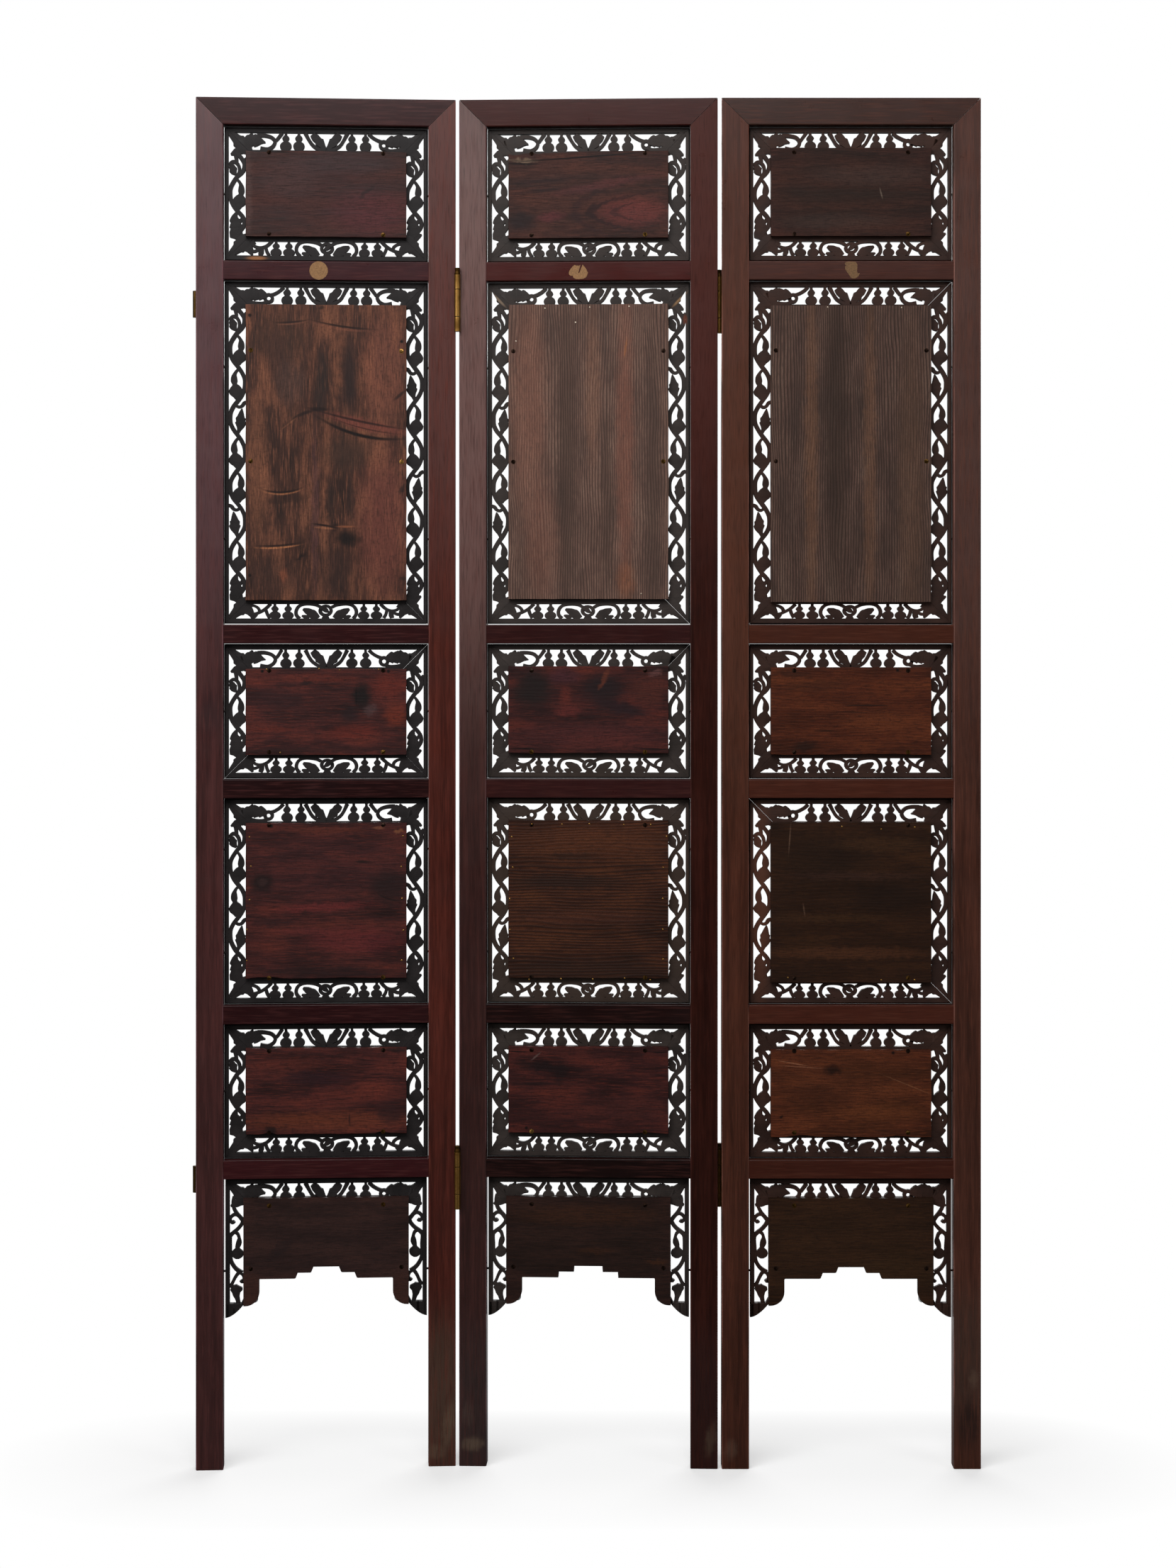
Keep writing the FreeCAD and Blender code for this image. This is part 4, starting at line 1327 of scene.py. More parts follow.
class SCREEN_OT_boards(bpy.types.Operator):
    """Backing boards, each with its own wood, stains and worn edges"""

    bl_idname = "screen.boards"
    bl_label = "Backing boards"

    def execute(self, context):
        for number, side in enumerate(SIDES):
            for index, name in enumerate(SECTIONS):
                span = SURROUND_SPAN[name]
                head, foot = BOARD_ENDS[side][index]
                low = (-HALF_SURROUND + BOARD_EDGE, span[0] + BOARD_EDGE + foot)
                high = (HALF_SURROUND - BOARD_EDGE, span[1] - BOARD_EDGE - head)
                wood, chips = self.wood(side, name, sum(span) / 2)
                chips = [(x, (high if up else low)[1], *size) for x, up, *size in chips]
                bm = bmesh.new()
                board_sheet(bm, low, high, number * 10 + index + 1, chips)
                piece = f"{side}_{name}_board"
                node = piece if name in ("large", "square") else f"{side}_small_boards"
                finish_piece(f"{piece}_wood", bm, side, [wood], [node])
            self.apron(side)
        return {"FINISHED"}

    def wood(self, side, name, middle):
        """Wood of a board, marked about the middle of its section, and the chips of its edges."""
        finish, upright, shade, marks, chips = BOARD_LOOKS[side, name]
        place = leaf_frame(side) @ Matrix.Translation((0, 0, middle * MM))
        title = f"Old pine {side} {name} board"
        return board_pine(title, place, finish, upright, shade, marks, BOARD_SHEEN[side]), chips

    def apron(self, side):
        """Apron board cut to its stepped arch."""
        bm = bmesh.new()
        half = HALF_SURROUND - APRON_EDGE - 0.3
        slant = 0.4 if side == "middle" else 2.2
        points = apron_outline(half, APRON_BOARD_HIGH.z - 0.3, 0.0, slant)
        face = bm.faces.new([bm.verts.new((x, BOARD_BACK, z)) for x, z in points])
        thicken(bm, [face], (0, SURROUND_BACK - BOARD_BACK - 0.1, 0))
        back = [e for e in bm.edges if all(abs(v.co.y - BOARD_BACK) < 0.01 for v in e.verts)]
        ease(bm, back, 0.5, 2)
        wood, _ = self.wood(side, "apron", (APRON_BOARD_LOW.z + APRON_BOARD_HIGH.z) / 2)
        node = f"{side}_apron_board"
        finish_piece(f"{node}_wood", bm, side, [wood], [node])


# How far each board stops short of its full height, at its head and its foot
BOARD_ENDS = {
    "left": ((4.3, 3.3), (3.1, 3.1), (4.3, 2.8), (3.8, 5.6), (3.1, 4.3)),
    "middle": ((3.8, 2.4), (1.9, 4.7), (0.9, 5.2), (0.4, 5.6), (1.9, 4.7)),
    "right": ((0.4, 3.8), (4.7, 0.4), (2.4, 3.3), (2.8, 0.4), (5.2, 0.4)),
}
# Sheen of each leaf's boards
BOARD_SHEEN = {"left": 0.18, "middle": 0.15, "right": 0.12}

# Finish, upright grain, shade, marks and chipped edges of each board. A mark is a spot from the
# board's middle, its colour and strength; some marks are painted sheen, highlights and shadows.
# A chip is (x, at the top edge, reach, depth).
BOARD_LOOKS = {
    ("left", "upper"): ("umber", False, 1.04, [
        ((0, 0, 130, 70), "3f2223", 0.4),
        ((62, -26, 55, 30), "55262a", 0.55),
        # Painted sheen: a paler, greyer strip along the board's left edge
        ((-104, 0, 6, 60), "5c4642", 0.3),
        ((20, 40, 70, 14), "382a2b", 0.5),
        ((-76, 56, 32, 1.6, 3), "0d0808", 0.95),
        ((54, 2.4, 13, 3.2, -40), "1a1011", 0.7),
        ((-50, 20, 40, 26), "43302f", 0.4),
    ], [(-88, True, 24, 3.0)]),
    ("left", "large"): ("weathered", True, 1.02, [
        ((78, 110, 30, 80), "7a4838", 0.6),
        ((76, -95, 34, 95), "743f34", 0.6),
        ((-92, -20, 14, 90), "83523a", 0.45),
        ((-62, 150, 42, 34), "40291f", 0.55),
        ((30, 106, 13, 56), "211818", 0.8),
        ((-6, 93, 8, 45), "281d1a", 0.7),
        ((-68, 128, 14, 36), "33211d", 0.6),
        ((-48, 92, 20, 30), "4a3630", 0.5),
        ((28, 0, 32, 24), "33241d", 0.7),
        ((5, -66, 6, 34), "1f1614", 0.75),
        ((32, -60, 5, 30), "271b18", 0.6),
        ((-15, -80, 5, 110), "4a2e30", 0.5),
        ((-70, -165, 34, 26), "38241e", 0.6),
        ((10, -160, 25, 38), "2c1d1a", 0.6),
        ((-57, -165, 6, 9), "8a4c34", 0.5),
        ((-46, 174, 22, 1.3, -5, 1.0), "1c110e", 0.85),
        # Painted highlight along the lower edge of the lifted piece above
        ((-46, 171.4, 18, 1.0, -5, 1.0), "7a4c38", 0.5),
        ((22, 168.5, 40, 1.5, 8, 1.5), "170d0b", 0.9),
        ((20, 165, 34, 1.6, 8, 1.5), "7a4836", 0.5),
        ((-7, 193, 4, 3.6), "26170f", 0.85),
        ((52, 37, 56, 7.5, 13, 0.3), "6e3a2f", 0.92),
        ((44, 23.4, 60, 2.5, 14, 4.0), "0c0706", 1.0),
        ((42, 42.5, 64, 1.7, 12, 1.4), "170d0b", 0.85),
        ((52, 32, 44, 1.0, 13, 3.0), "2c1512", 0.7),
        ((-30, 52, 20, 2.4, -22, -1.2), "1a100e", 0.85),
        ((-10, 58, 14, 2.8, 4), "100908", 0.85),
        ((-50, 38, 14, 1.1, -38), "84543a", 0.45),
        ((-58, -53.4, 25, 1.5, -3, 3.0), "130a08", 0.95),
        # Painted highlight under the ridge, then a painted shadow below it
        ((-58, -56, 24, 1.2, -3, 3.4), "a06543", 0.7),
        ((-54, -63, 30, 6, -6), "261713", 0.6),
        ((-64, -124.8, 28, 1.5, -4, 1.4), "170d0a", 0.9),
        # Painted highlight under the ridge
        ((-64, -127.6, 27, 1.2, -4, 1.4), "b07048", 0.8),
        ((28, -115, 18, 10, 8), "0f0a09", 0.95),
        ((13, -100, 6, 5.5), "20130f", 0.9),
        ((-3, -97.4, 15, 1.5, 8), "130a08", 0.95),
        ((-3, -101, 13, 1.4, 5), "9a6244", 0.6),
        ((26, -99, 12, 1.5), "8a5236", 0.65),
        ((-34, -140, 9, 3, -38), "170e0c", 0.9),
        ((98, 77, 11, 2.2, -40), "1a110f", 0.8),
        ((102, -49, 7, 3, -50), "1e1412", 0.8),
        ((-101.6, 182.7, 2.6, 2.6), "050303", 1.0),
        ((100.7, 149, 2.4, 2.4), "050303", 1.0),
        ((-101.6, -164.4, 2.2, 2.2), "050303", 1.0),
        ((-100, -176, 1.0, 9), "120a08", 0.8),
        ((102, -167.5, 4, 4), "28160f", 0.85),
    ], []),
    ("left", "middle"): ("red", False, 1.05, [
        ((84, 34, 26, 18), "66251a", 0.65),
        ((92, -6, 16, 14), "6e2b1a", 0.7),
        ((34, -28, 36, 10, -6), "602218", 0.65),
        ((-72, -24, 34, 4), "5c241a", 0.65),
        ((0, 44, 44, 6, 3), "60261b", 0.55),
        ((-66, 15, 38, 14), "2a1416", 0.6),
        ((-26, 37, 10, 3.2), "150c0e", 0.85),
        ((0, -52, 110, 5), "261212", 0.65),
        ((31, -4, 13, 12), "211416", 0.85),
        ((58, 2, 9, 8), "4a3a3a", 0.55),
        ((47, 21, 12, 17), "0f0a0a", 0.97),
        ((40, 20, 1.1, 12), "020101", 1.0),
        ((-85, 53.5, 2.4, 2.4), "050303", 1.0),
        ((83, 53.5, 2.4, 2.4), "050303", 1.0),
    ], []),
    ("left", "square"): ("red", False, 1.0, [
        ((0, 40, 110, 50), "3a1b1d", 0.4),
        ((-5, -8, 62, 6, -3), "642423", 0.65),
        ((40, -52, 62, 18), "5e2022", 0.55),
        ((-30, -40, 40, 5), "5a2322", 0.5),
        ((-76, -28, 26, 7), "221113", 0.65),
        ((0, 95, 52, 5), "5e2a1e", 0.55),
        ((0, -95, 110, 8), "1c0f10", 0.65),
        ((-86, 25, 16, 13), "120a0a", 0.9),
        ((-85, 26, 6, 5), "3a2422", 0.6),
        ((84, 19, 28, 22), "1a0f10", 0.85),
        ((86, 2, 20, 1.4, 14, 3.0), "0d0707", 0.7),
        ((48, 52.6, 10, 1.8, 2), "100808", 0.85),
        ((98, 94, 6, 3), "8a5638", 0.65),
        ((70, 98, 8, 2), "7a4a34", 0.6),
        ((-73, 101, 2.4, 2.4), "050303", 1.0),
    ], [(-80, False, 30, 3.2), (30, False, 60, 1.2)]),
    ("left", "lower"): ("red", False, 1.12, [
        ((0, -40, 110, 14), "6e3520", 0.6),
        ((-50, 36, 50, 9), "5a261d", 0.5),
        ((-12, 18, 42, 10), "26131a", 0.6),
        ((86, -30, 18, 16), "281415", 0.7),
        ((31, -38, 1.4, 8), "170c0d", 0.7),
        ((-74, -52, 7, 6), "140a0a", 0.9),
        ((92, 54, 16, 4), "120a0a", 0.7),
    ], [(-76, False, 9, 4.0), (76, False, 9, 4.0), (-76, True, 8, 3.0)]),
    ("left", "apron"): ("umber", False, 0.9, [
        ((0, 0, 150, 90), "2b1b1a", 0.5),
        ((-98, -52, 12, 24), "3c2018", 0.65),
        ((100, -55, 12, 24), "3c2018", 0.65),
        ((-60, 4, 20, 8, -40), "1c1112", 0.6),
    ], []),
    ("middle", "upper"): ("umber", False, 1.2, [
        ((60, -24, 46, 20), "68302c", 0.65),
        ((20, 12, 70, 6, -10), "562c2c", 0.5),
        ((2, -25, 30, 8, 90, 12), "241415", 0.8),
        ((34, -24, 18, 6, 90, 10), "301919", 0.7),
        ((-18, -24, 40, 7, 90, 10), "2a1819", 0.6),
        ((-90, -36, 20, 13), "1e1819", 0.85),
        ((-50, -30, 18, 6, -8), "58292b", 0.65),
        ((-70, 4, 36, 2.6, -6), "1f1516", 0.6),
        ((-60, 18, 44, 2.6, -4), "231819", 0.55),
        ((-88, 45, 20, 3, 2), "7a6652", 0.5),
        ((-90, 41, 20, 1.2, 2), "0a0606", 0.95),
        ((0, 50, 100, 1.2, -4, 0.5), "0b0707", 0.95),
        ((76, -56, 2.2, 2.2), "050303", 1.0),
    ], [(-70, True, 70, 3.4), (-98, True, 14, 4.0)]),
    ("middle", "large"): ("ribbed", True, 1.1, [
        ((-29, -20, 13, 240), "362822", 0.65),
        ((-80, 60, 24, 150), "7c5142", 0.5),
        ((-62, -120, 22, 80), "6e4538", 0.45),
        ((6, 90, 10, 110), "74503f", 0.45),
        ((49, 20, 12, 200), "7a4a3b", 0.5),
        ((86, -40, 12, 200), "3a2b25", 0.6),
        ((24, -60, 8, 120), "3c2c25", 0.5),
        ((50, -172, 13, 24), "7c4526", 0.4),
        ((50, 140, 1.4, 12, 8), "9a6038", 0.6),
    ], []),
    ("middle", "middle"): ("red", False, 0.88, [
        ((80, 30, 26, 22), "4c2219", 0.65),
        ((0, -32, 110, 18), "4a2120", 0.5),
        ((-74, 30, 27, 26), "171110", 0.95),
        ((20, 30, 27, 22, 10), "1b1214", 0.92),
        ((40, 6, 38, 9, 12), "1f1216", 0.88),
        ((-32, 47, 20, 10), "3e1d22", 0.85),
        ((-30, 20, 8, 13), "5e251c", 0.7),
        ((-28, 0, 18, 7), "5e2520", 0.65),
        ((21, 43, 3.2, 14, 28), "62301f", 0.65),
        ((-86, -50, 24, 0.8), "050303", 1.0),
        ((90, -50.5, 20, 0.8, 2), "050303", 1.0),
        ((90, 52, 8, 4), "6a4644", 0.45),
    ], []),
    ("middle", "square"): ("lined", False, 0.78, [
        ((0, 80, 110, 24), "542c18", 0.55),
        ((-23, 60, 36, 5), "22110a", 0.7),
        ((-30, 26, 80, 10), "1a0f0b", 0.75),
        ((-10, -22, 100, 10), "46251a", 0.45),
        ((0, -94, 120, 18), "1c100b", 0.7),
    ], []),
    ("middle", "lower"): ("red", False, 0.9, [
        ((50, -25, 60, 18), "45201c", 0.5),
        ((-58, 32, 34, 7, 6), "140a0b", 0.9),
        ((-36, 24, 10, 13, 30), "180c0d", 0.75),
        ((-66, 9, 40, 2, -1), "170c0d", 0.7),
        ((-70, 46, 8, 1.2, -40), "6a5550", 0.55),
        ((-94, 52, 14, 0.8, 2), "050303", 0.95),
        ((96, 52, 12, 0.8, -2), "050303", 0.95),
        ((-83, -50, 2.2, 2.2), "050303", 1.0),
    ], [(80, False, 18, 2.2)]),
    ("middle", "apron"): ("umber", False, 0.62, [
        ((0, 0, 150, 90), "24160f", 0.45),
        ((0, 48, 100, 14), "3c2010", 0.55),
        ((10, 0, 26, 5), "3c2010", 0.5),
        ((92, -14, 14, 4), "40220f", 0.6),
    ], []),
    ("right", "upper"): ("umber", False, 0.86, [
        ((0, 0, 130, 70), "2c1c13", 0.35),
        ((30, 24, 80, 14), "43302a", 0.45),
        ((0, -4, 110, 9), "241914", 0.6),
        ((-20, -38, 80, 10), "40302a", 0.4),
        ((40, 0, 1.0, 7, -15), "7a6a5c", 0.5),
    ], []),
    ("right", "large"): ("ribbed", True, 0.68, [
        ((-20, 40, 18, 220), "261b15", 0.65),
        ((-53, 0, 9, 240), "6a4833", 0.45),
        ((25, 0, 8, 240), "684733", 0.45),
        ((80, -40, 18, 200), "5a4030", 0.4),
    ], []),
    ("right", "middle"): ("orange", False, 1.12, [
        ((0, 0, 130, 70), "481d0b", 0.4),
        ((50, -14, 60, 14), "66331a", 0.5),
        ((-50, 34, 50, 8, -4), "2b140b", 0.5),
        ((-78, 50, 24, 5, 3), "20100a", 0.65),
        ((21, 8, 30, 1.3), "1a0c06", 0.85),
        ((-2, -1, 22, 1.1, 1), "1e0e07", 0.75),
        ((-33, -26, 16, 1.5, 2), "1e0e07", 0.7),
        ((-62, -47, 16, 8), "1a0d08", 0.85),
        ((62, 55, 2.2, 2.2), "050303", 1.0),
    ], [(30, False, 60, 1.6)]),
    ("right", "square"): ("olive", False, 0.93, [
        ((0, 0, 130, 130), "2e1708", 0.4),
        ((-40, 60, 70, 34), "170c06", 0.6),
        ((50, 8, 56, 22), "170c06", 0.65),
        ((0, -69, 110, 8), "4a2a18", 0.65),
        ((40, 76, 62, 10), "3e2614", 0.55),
        ((-24, -22, 80, 6), "3e2614", 0.5),
        ((10, 34, 90, 6), "38221a", 0.5),
        ((-82, 84, 1.0, 20, 4), "6a5040", 0.5),
        ((-63, -11, 1.0, 8, -8), "6a5040", 0.45),
    ], []),
    ("right", "lower"): ("orange", False, 1.42, [
        ((0, 0, 130, 70), "4e2915", 0.5),
        ((40, -28, 60, 12), "5c3016", 0.4),
        ((-50, -8, 40, 16), "32170c", 0.4),
        ((-78, 38, 19, 0.9, 10), "8a5a40", 0.75),
        ((-66, 33, 30, 0.8, 4), "7a4e38", 0.65),
        ((-24, 29, 12, 7), "180b06", 0.9),
        ((-94, -34, 3.2, 3.0), "120805", 0.95),
        ((76, 9, 34, 0.8, 22), "7a5036", 0.45),
        ((56, 52, 2.2, 2.2), "050303", 1.0),
    ], [(-66, False, 26, 3.4), (-10, False, 30, 1.6), (62, False, 20, 2.6)]),
    ("right", "apron"): ("olive", False, 1.12, [
        ((0, 0, 150, 90), "301e11", 0.55),
        ((60, -30, 60, 30), "3c2714", 0.4),
    ], []),
}


# How far the painting moves on from leaf to leaf, so that each has its own hills
HILL_SHIFT = 1.37
# Insets of a plaque's painted bands, as (width, whether it is the blue band)
PLAQUE_BANDS = ((7.0, 0), (2.4, 1), (2.0, 0), (0.8, 1))


class SCREEN_OT_plaques(bpy.types.Operator):
    """Porcelain plaques in the rebates of the surrounds, seen from the front"""

    bl_idname = "screen.plaques"
    bl_label = "Porcelain plaques"

    def execute(self, context):
        colours = context.scene.screen_colours
        blue = colours.underglaze
        glaze = blue_and_white("Glazed porcelain with cobalt hills", colours.glaze, blue)
        band = painted_band("Glazed porcelain cobalt band", blue)
        edge = HALF_SURROUND - HALF_PLAQUE
        half = HALF_PLAQUE
        for number, side in enumerate(SIDES):
            shift = HILL_SHIFT * number
            bm = bmesh.new()
            for name in SECTIONS:
                low, high = SURROUND_SPAN[name][0] + edge, SURROUND_SPAN[name][1] - edge
                corners = [(-half, low), (half, low), (half, high), (-half, high)]
                self.plaque(bm, corners, low, high, shift)
            high = SURROUND_SPAN["apron"][1] - edge
            self.plaque(bm, apron_outline(half, high, 2.0, 0.4), PLAQUES_LOW.z, high, shift)
            node = f"{side}_plaques"
            finish_piece(f"{node}_porcelain", bm, side, [glaze, band], [node], 50)
        return {"FINISHED"}

    def plaque(self, bm, points, low, high, shift):
        """One plaque: its outline, painted bands by insets, then its thickness."""
        uv = bm.loops.layers.uv
        painting = uv.get("painting") or uv.new("painting")
        front = bm.faces.new([bm.verts.new((x, PLAQUE_FRONT, z)) for x, z in points])
        rings = []
        for width, material in PLAQUE_BANDS:
            made = bmesh.ops.inset_region(bm, faces=[front], thickness=width, use_even_offset=True)
            for face in made["faces"]:
                face.material_index = material
            rings += made["faces"]
        for face in rings + [front]:
            for loop in face.loops:
                spot = loop.vert.co
                across = spot.x / 300 + low / 500 + shift
                loop[painting].uv = (across, (spot.z - low) / (high - low))
        rim = dict.fromkeys(e for face in rings for e in face.edges if e.is_boundary)
        grown = bmesh.ops.extrude_edge_only(bm, edges=list(rim))["geom"]
        back = [part for part in grown if isinstance(part, bmesh.types.BMVert)]
        bmesh.ops.translate(bm, vec=(0, SURROUND_BACK + 0.1 - PLAQUE_FRONT, 0), verts=back)
        closing = [part for part in grown if isinstance(part, bmesh.types.BMEdge)]
        bmesh.ops.contextual_create(bm, geom=[edge for edge in closing if edge.is_boundary])


def slotted_screw():
    """Mesh of a countersunk screw with a slotted head, its head at the origin facing +Z."""
    bm = bmesh.new()
    rod(bm, Matrix.Translation((0, 0, -1.2)), 2.4, 1.2, 3.2, 16)
    ease(bm, [e for e in bm.edges if all(v.co.z > -0.01 for v in e.verts)], 0.4, 2)
    for x in (-0.45, 0.45):
        whole = bm.verts[:] + bm.edges[:] + bm.faces[:]
        bmesh.ops.bisect_plane(bm, geom=whole, plane_co=(x, 0, 0), plane_no=(1, 0, 0))
    slot = [f for f in bm.faces if abs(f.calc_center_median().x) < 0.4 and f.normal.z > 0.9]
    thicken(bm, slot, (0, 0, -0.8))
    rod(bm, Matrix.Translation((0, 0, -8.6)), 13, 0.3, 1.6, 8)
    mesh = bpy.data.meshes.new("screw")
    bm.to_mesh(mesh)
    bm.free()
    return mesh


# Board screws: how far they sit inside the board's edge, and from the middle of its ends
SCREW_INSET = 7
SCREW_OUT = 76
# Heights of a large board's screws from its middle, and of the apron's above its straight edge
LARGE_SCREWS = (-12, 136)
APRON_SCREW = 14


class SCREEN_OT_screws(bpy.types.Operator):
    """Slotted screws at the corners of the boards and the small pins along their edges"""

    bl_idname = "screen.screws"
    bl_label = "Board screws"

    def execute(self, context):
        brass = context.scene.screen_colours.brass
        metals = [
            aged_brass("Aged brass screw bright", toned(brass, 1.1), 0.1),
            aged_brass("Aged brass screw dull", toned(brass, 0.42), 0.7),
            aged_brass("Blackened screw", linear("40312a"), 0.8),
        ]
        # How far the heads of each metal stand out of the board
        proud = (0.35, 0.35, 0.15)
        # Metal of a board's four screws, as (low left, low right, high left, high right)
        finishes = {
            ("left", "large"): (1, 0, 1, 0),
            ("left", "apron"): (2, 2, 1, 1),
            ("left", "square"): (1, 1, 2, 2),
            ("middle", "middle"): (1, 1, 2, 2),
            ("middle", "lower"): (0, 1, 2, 2),
            ("middle", "apron"): (2, 2, 2, 2),
            ("right", "lower"): (1, 1, 2, 2),
            ("right", "apron"): (2, 2, 1, 1),
        }
        head = slotted_screw()
        rng = random.Random(5)
        edge = HALF_SURROUND - BOARD_EDGE - SCREW_INSET
        face = Matrix.Rotation(math.radians(90), 4, "X")
        for side in SIDES:
            bm = bmesh.new()
            for name, (low, high) in SURROUND_SPAN.items():
                ends = (low + BOARD_EDGE + SCREW_INSET, high - BOARD_EDGE - SCREW_INSET)
                rows = [(SCREW_OUT, z) for z in ends]
                if name == "large":
                    rows = [(edge, (low + high) / 2 + rise) for rise in LARGE_SCREWS]
                if name == "apron":
                    rows[0] = (edge, APRON_STRAIGHT + APRON_SCREW)
                kinds = finishes.get((side, name), (2, 1, 2, 2))
                spots = [(way * half, z) for half, z in rows for way in (-1, 1)]
                for (x, z), kind in zip(spots, kinds):
                    before = len(bm.faces)
                    turn = Matrix.Rotation(rng.uniform(0, math.pi), 4, "Z")
                    place = Matrix.Translation((x, BOARD_BACK - proud[kind], z))
                    press(bm, head, place @ face @ turn)
                    bm.faces.ensure_lookup_table()
                    for part in bm.faces[before:]:
                        part.material_index = kind
            node = f"{side}_board_screws"
            finish_piece(f"{node}_slotted", bm, side, metals, [node])
        bpy.data.meshes.remove(head)
        self.pins([metals[0], aged_brass("Worn white pin heads", linear("d6c6b4"), 0.2)])
        return {"FINISHED"}

    def pins(self, metals):
        """Small pin heads, as (x, z) from the board's middle; worn white in the large boards."""
        row = (-78, -38, 4, 46, 86)
        spots = {
            ("left", "middle"): [(-79, 56), (-12, 57), (18, 55), (72, 56), (-62, -56)],
            ("left", "square"): [(x, z) for x in (-103, 103) for z in row],
            ("middle", "large"): [(-58, 193), (2, 194), (55, 196)]
            + [(-20, 173), (-99, 149), (72, -188)],
            ("middle", "square"): [(x, z) for z in (-104, 103) for x in row]
            + [(x, z) for x in (-103, 102) for z in row],
            ("right", "square"): [(-11, 99), (42, 97), (83, 99)]
            + [(-82, -103), (42, -104), (83, -104)],
            ("right", "large"): [(-30, 195), (70, 193)],
        }
        flat = Matrix.Diagonal((1.1, 0.4, 1.1, 1))
        rng = random.Random(11)
        for side in SIDES:
            bm = bmesh.new()
            for (owner, name), places in spots.items():
                middle = sum(SURROUND_SPAN[name]) / 2
                for x, z in places if owner == side else ():
                    aside, up = rng.uniform(-3, 3), rng.uniform(-1.5, 1.5)
                    place = Matrix.Translation((x + aside, BOARD_BACK - 0.1, middle + z + up))
                    made = bmesh.ops.create_icosphere(
                        bm, subdivisions=2, radius=1.0, matrix=place @ flat
                    )
                    for face in {face for vert in made["verts"] for face in vert.link_faces}:
                        face.material_index = int(name == "large")
            finish_piece(f"{side}_board_pins", bm, side, metals, [])


# Butt hinges: height, gap between the leaves, radius of the barrel and its distance from the arris
HINGE_HEIGHT = 76.2
HINGE_GAP = 4.0
BARREL = 4.0
BARREL_CLEAR = 0.35
# Half height of the middle knuckle, and of the space left for it between the outer ones
KNUCKLE_HALF, KNUCKLE_SPACE = 17.9, 18.6
# Plates: how far they stand out of the stile, their width, and where their screws sit
PLATE_PROUD = 0.12
PLATE_WIDTH = 22
PLATE_SCREWS = (-25, 25)
# Height and profile of a pin's waisted head, as (radius, height)
PIN_HEAD = 9
PIN_PROFILE = (
    (0, 0), (3.5, 0), (3.9, 0.5), (3.9, 2.2), (3.2, 3.8), (3.1, 5.4), (3.7, 6.8), (3.7, 8.3),
    (3.1, PIN_HEAD), (0, PIN_HEAD),
)
# Pin line at the right edge and back face of a leaf
PIN_X = HALF_LEAF + HINGE_GAP / 2
PIN_Y = -HALF_DEPTH - math.sqrt((BARREL + BARREL_CLEAR) ** 2 - (HINGE_GAP / 2) ** 2)
# Middle heights of the hinges: the pins run from the lower one's foot to the upper one's head
HINGE_LEVELS = (PIN_HIGH.z - PIN_HEAD - HINGE_HEIGHT / 2, PIN_LOW.z + HINGE_HEIGHT / 2)
# Hinge halves of each leaf, as (left or right edge, back or front face)
HINGE_WAYS = {"left": ((1, 1),), "middle": ((-1, 1), (1, -1)), "right": ((-1, -1),)}
OUTER_WAY = (-1, -1)


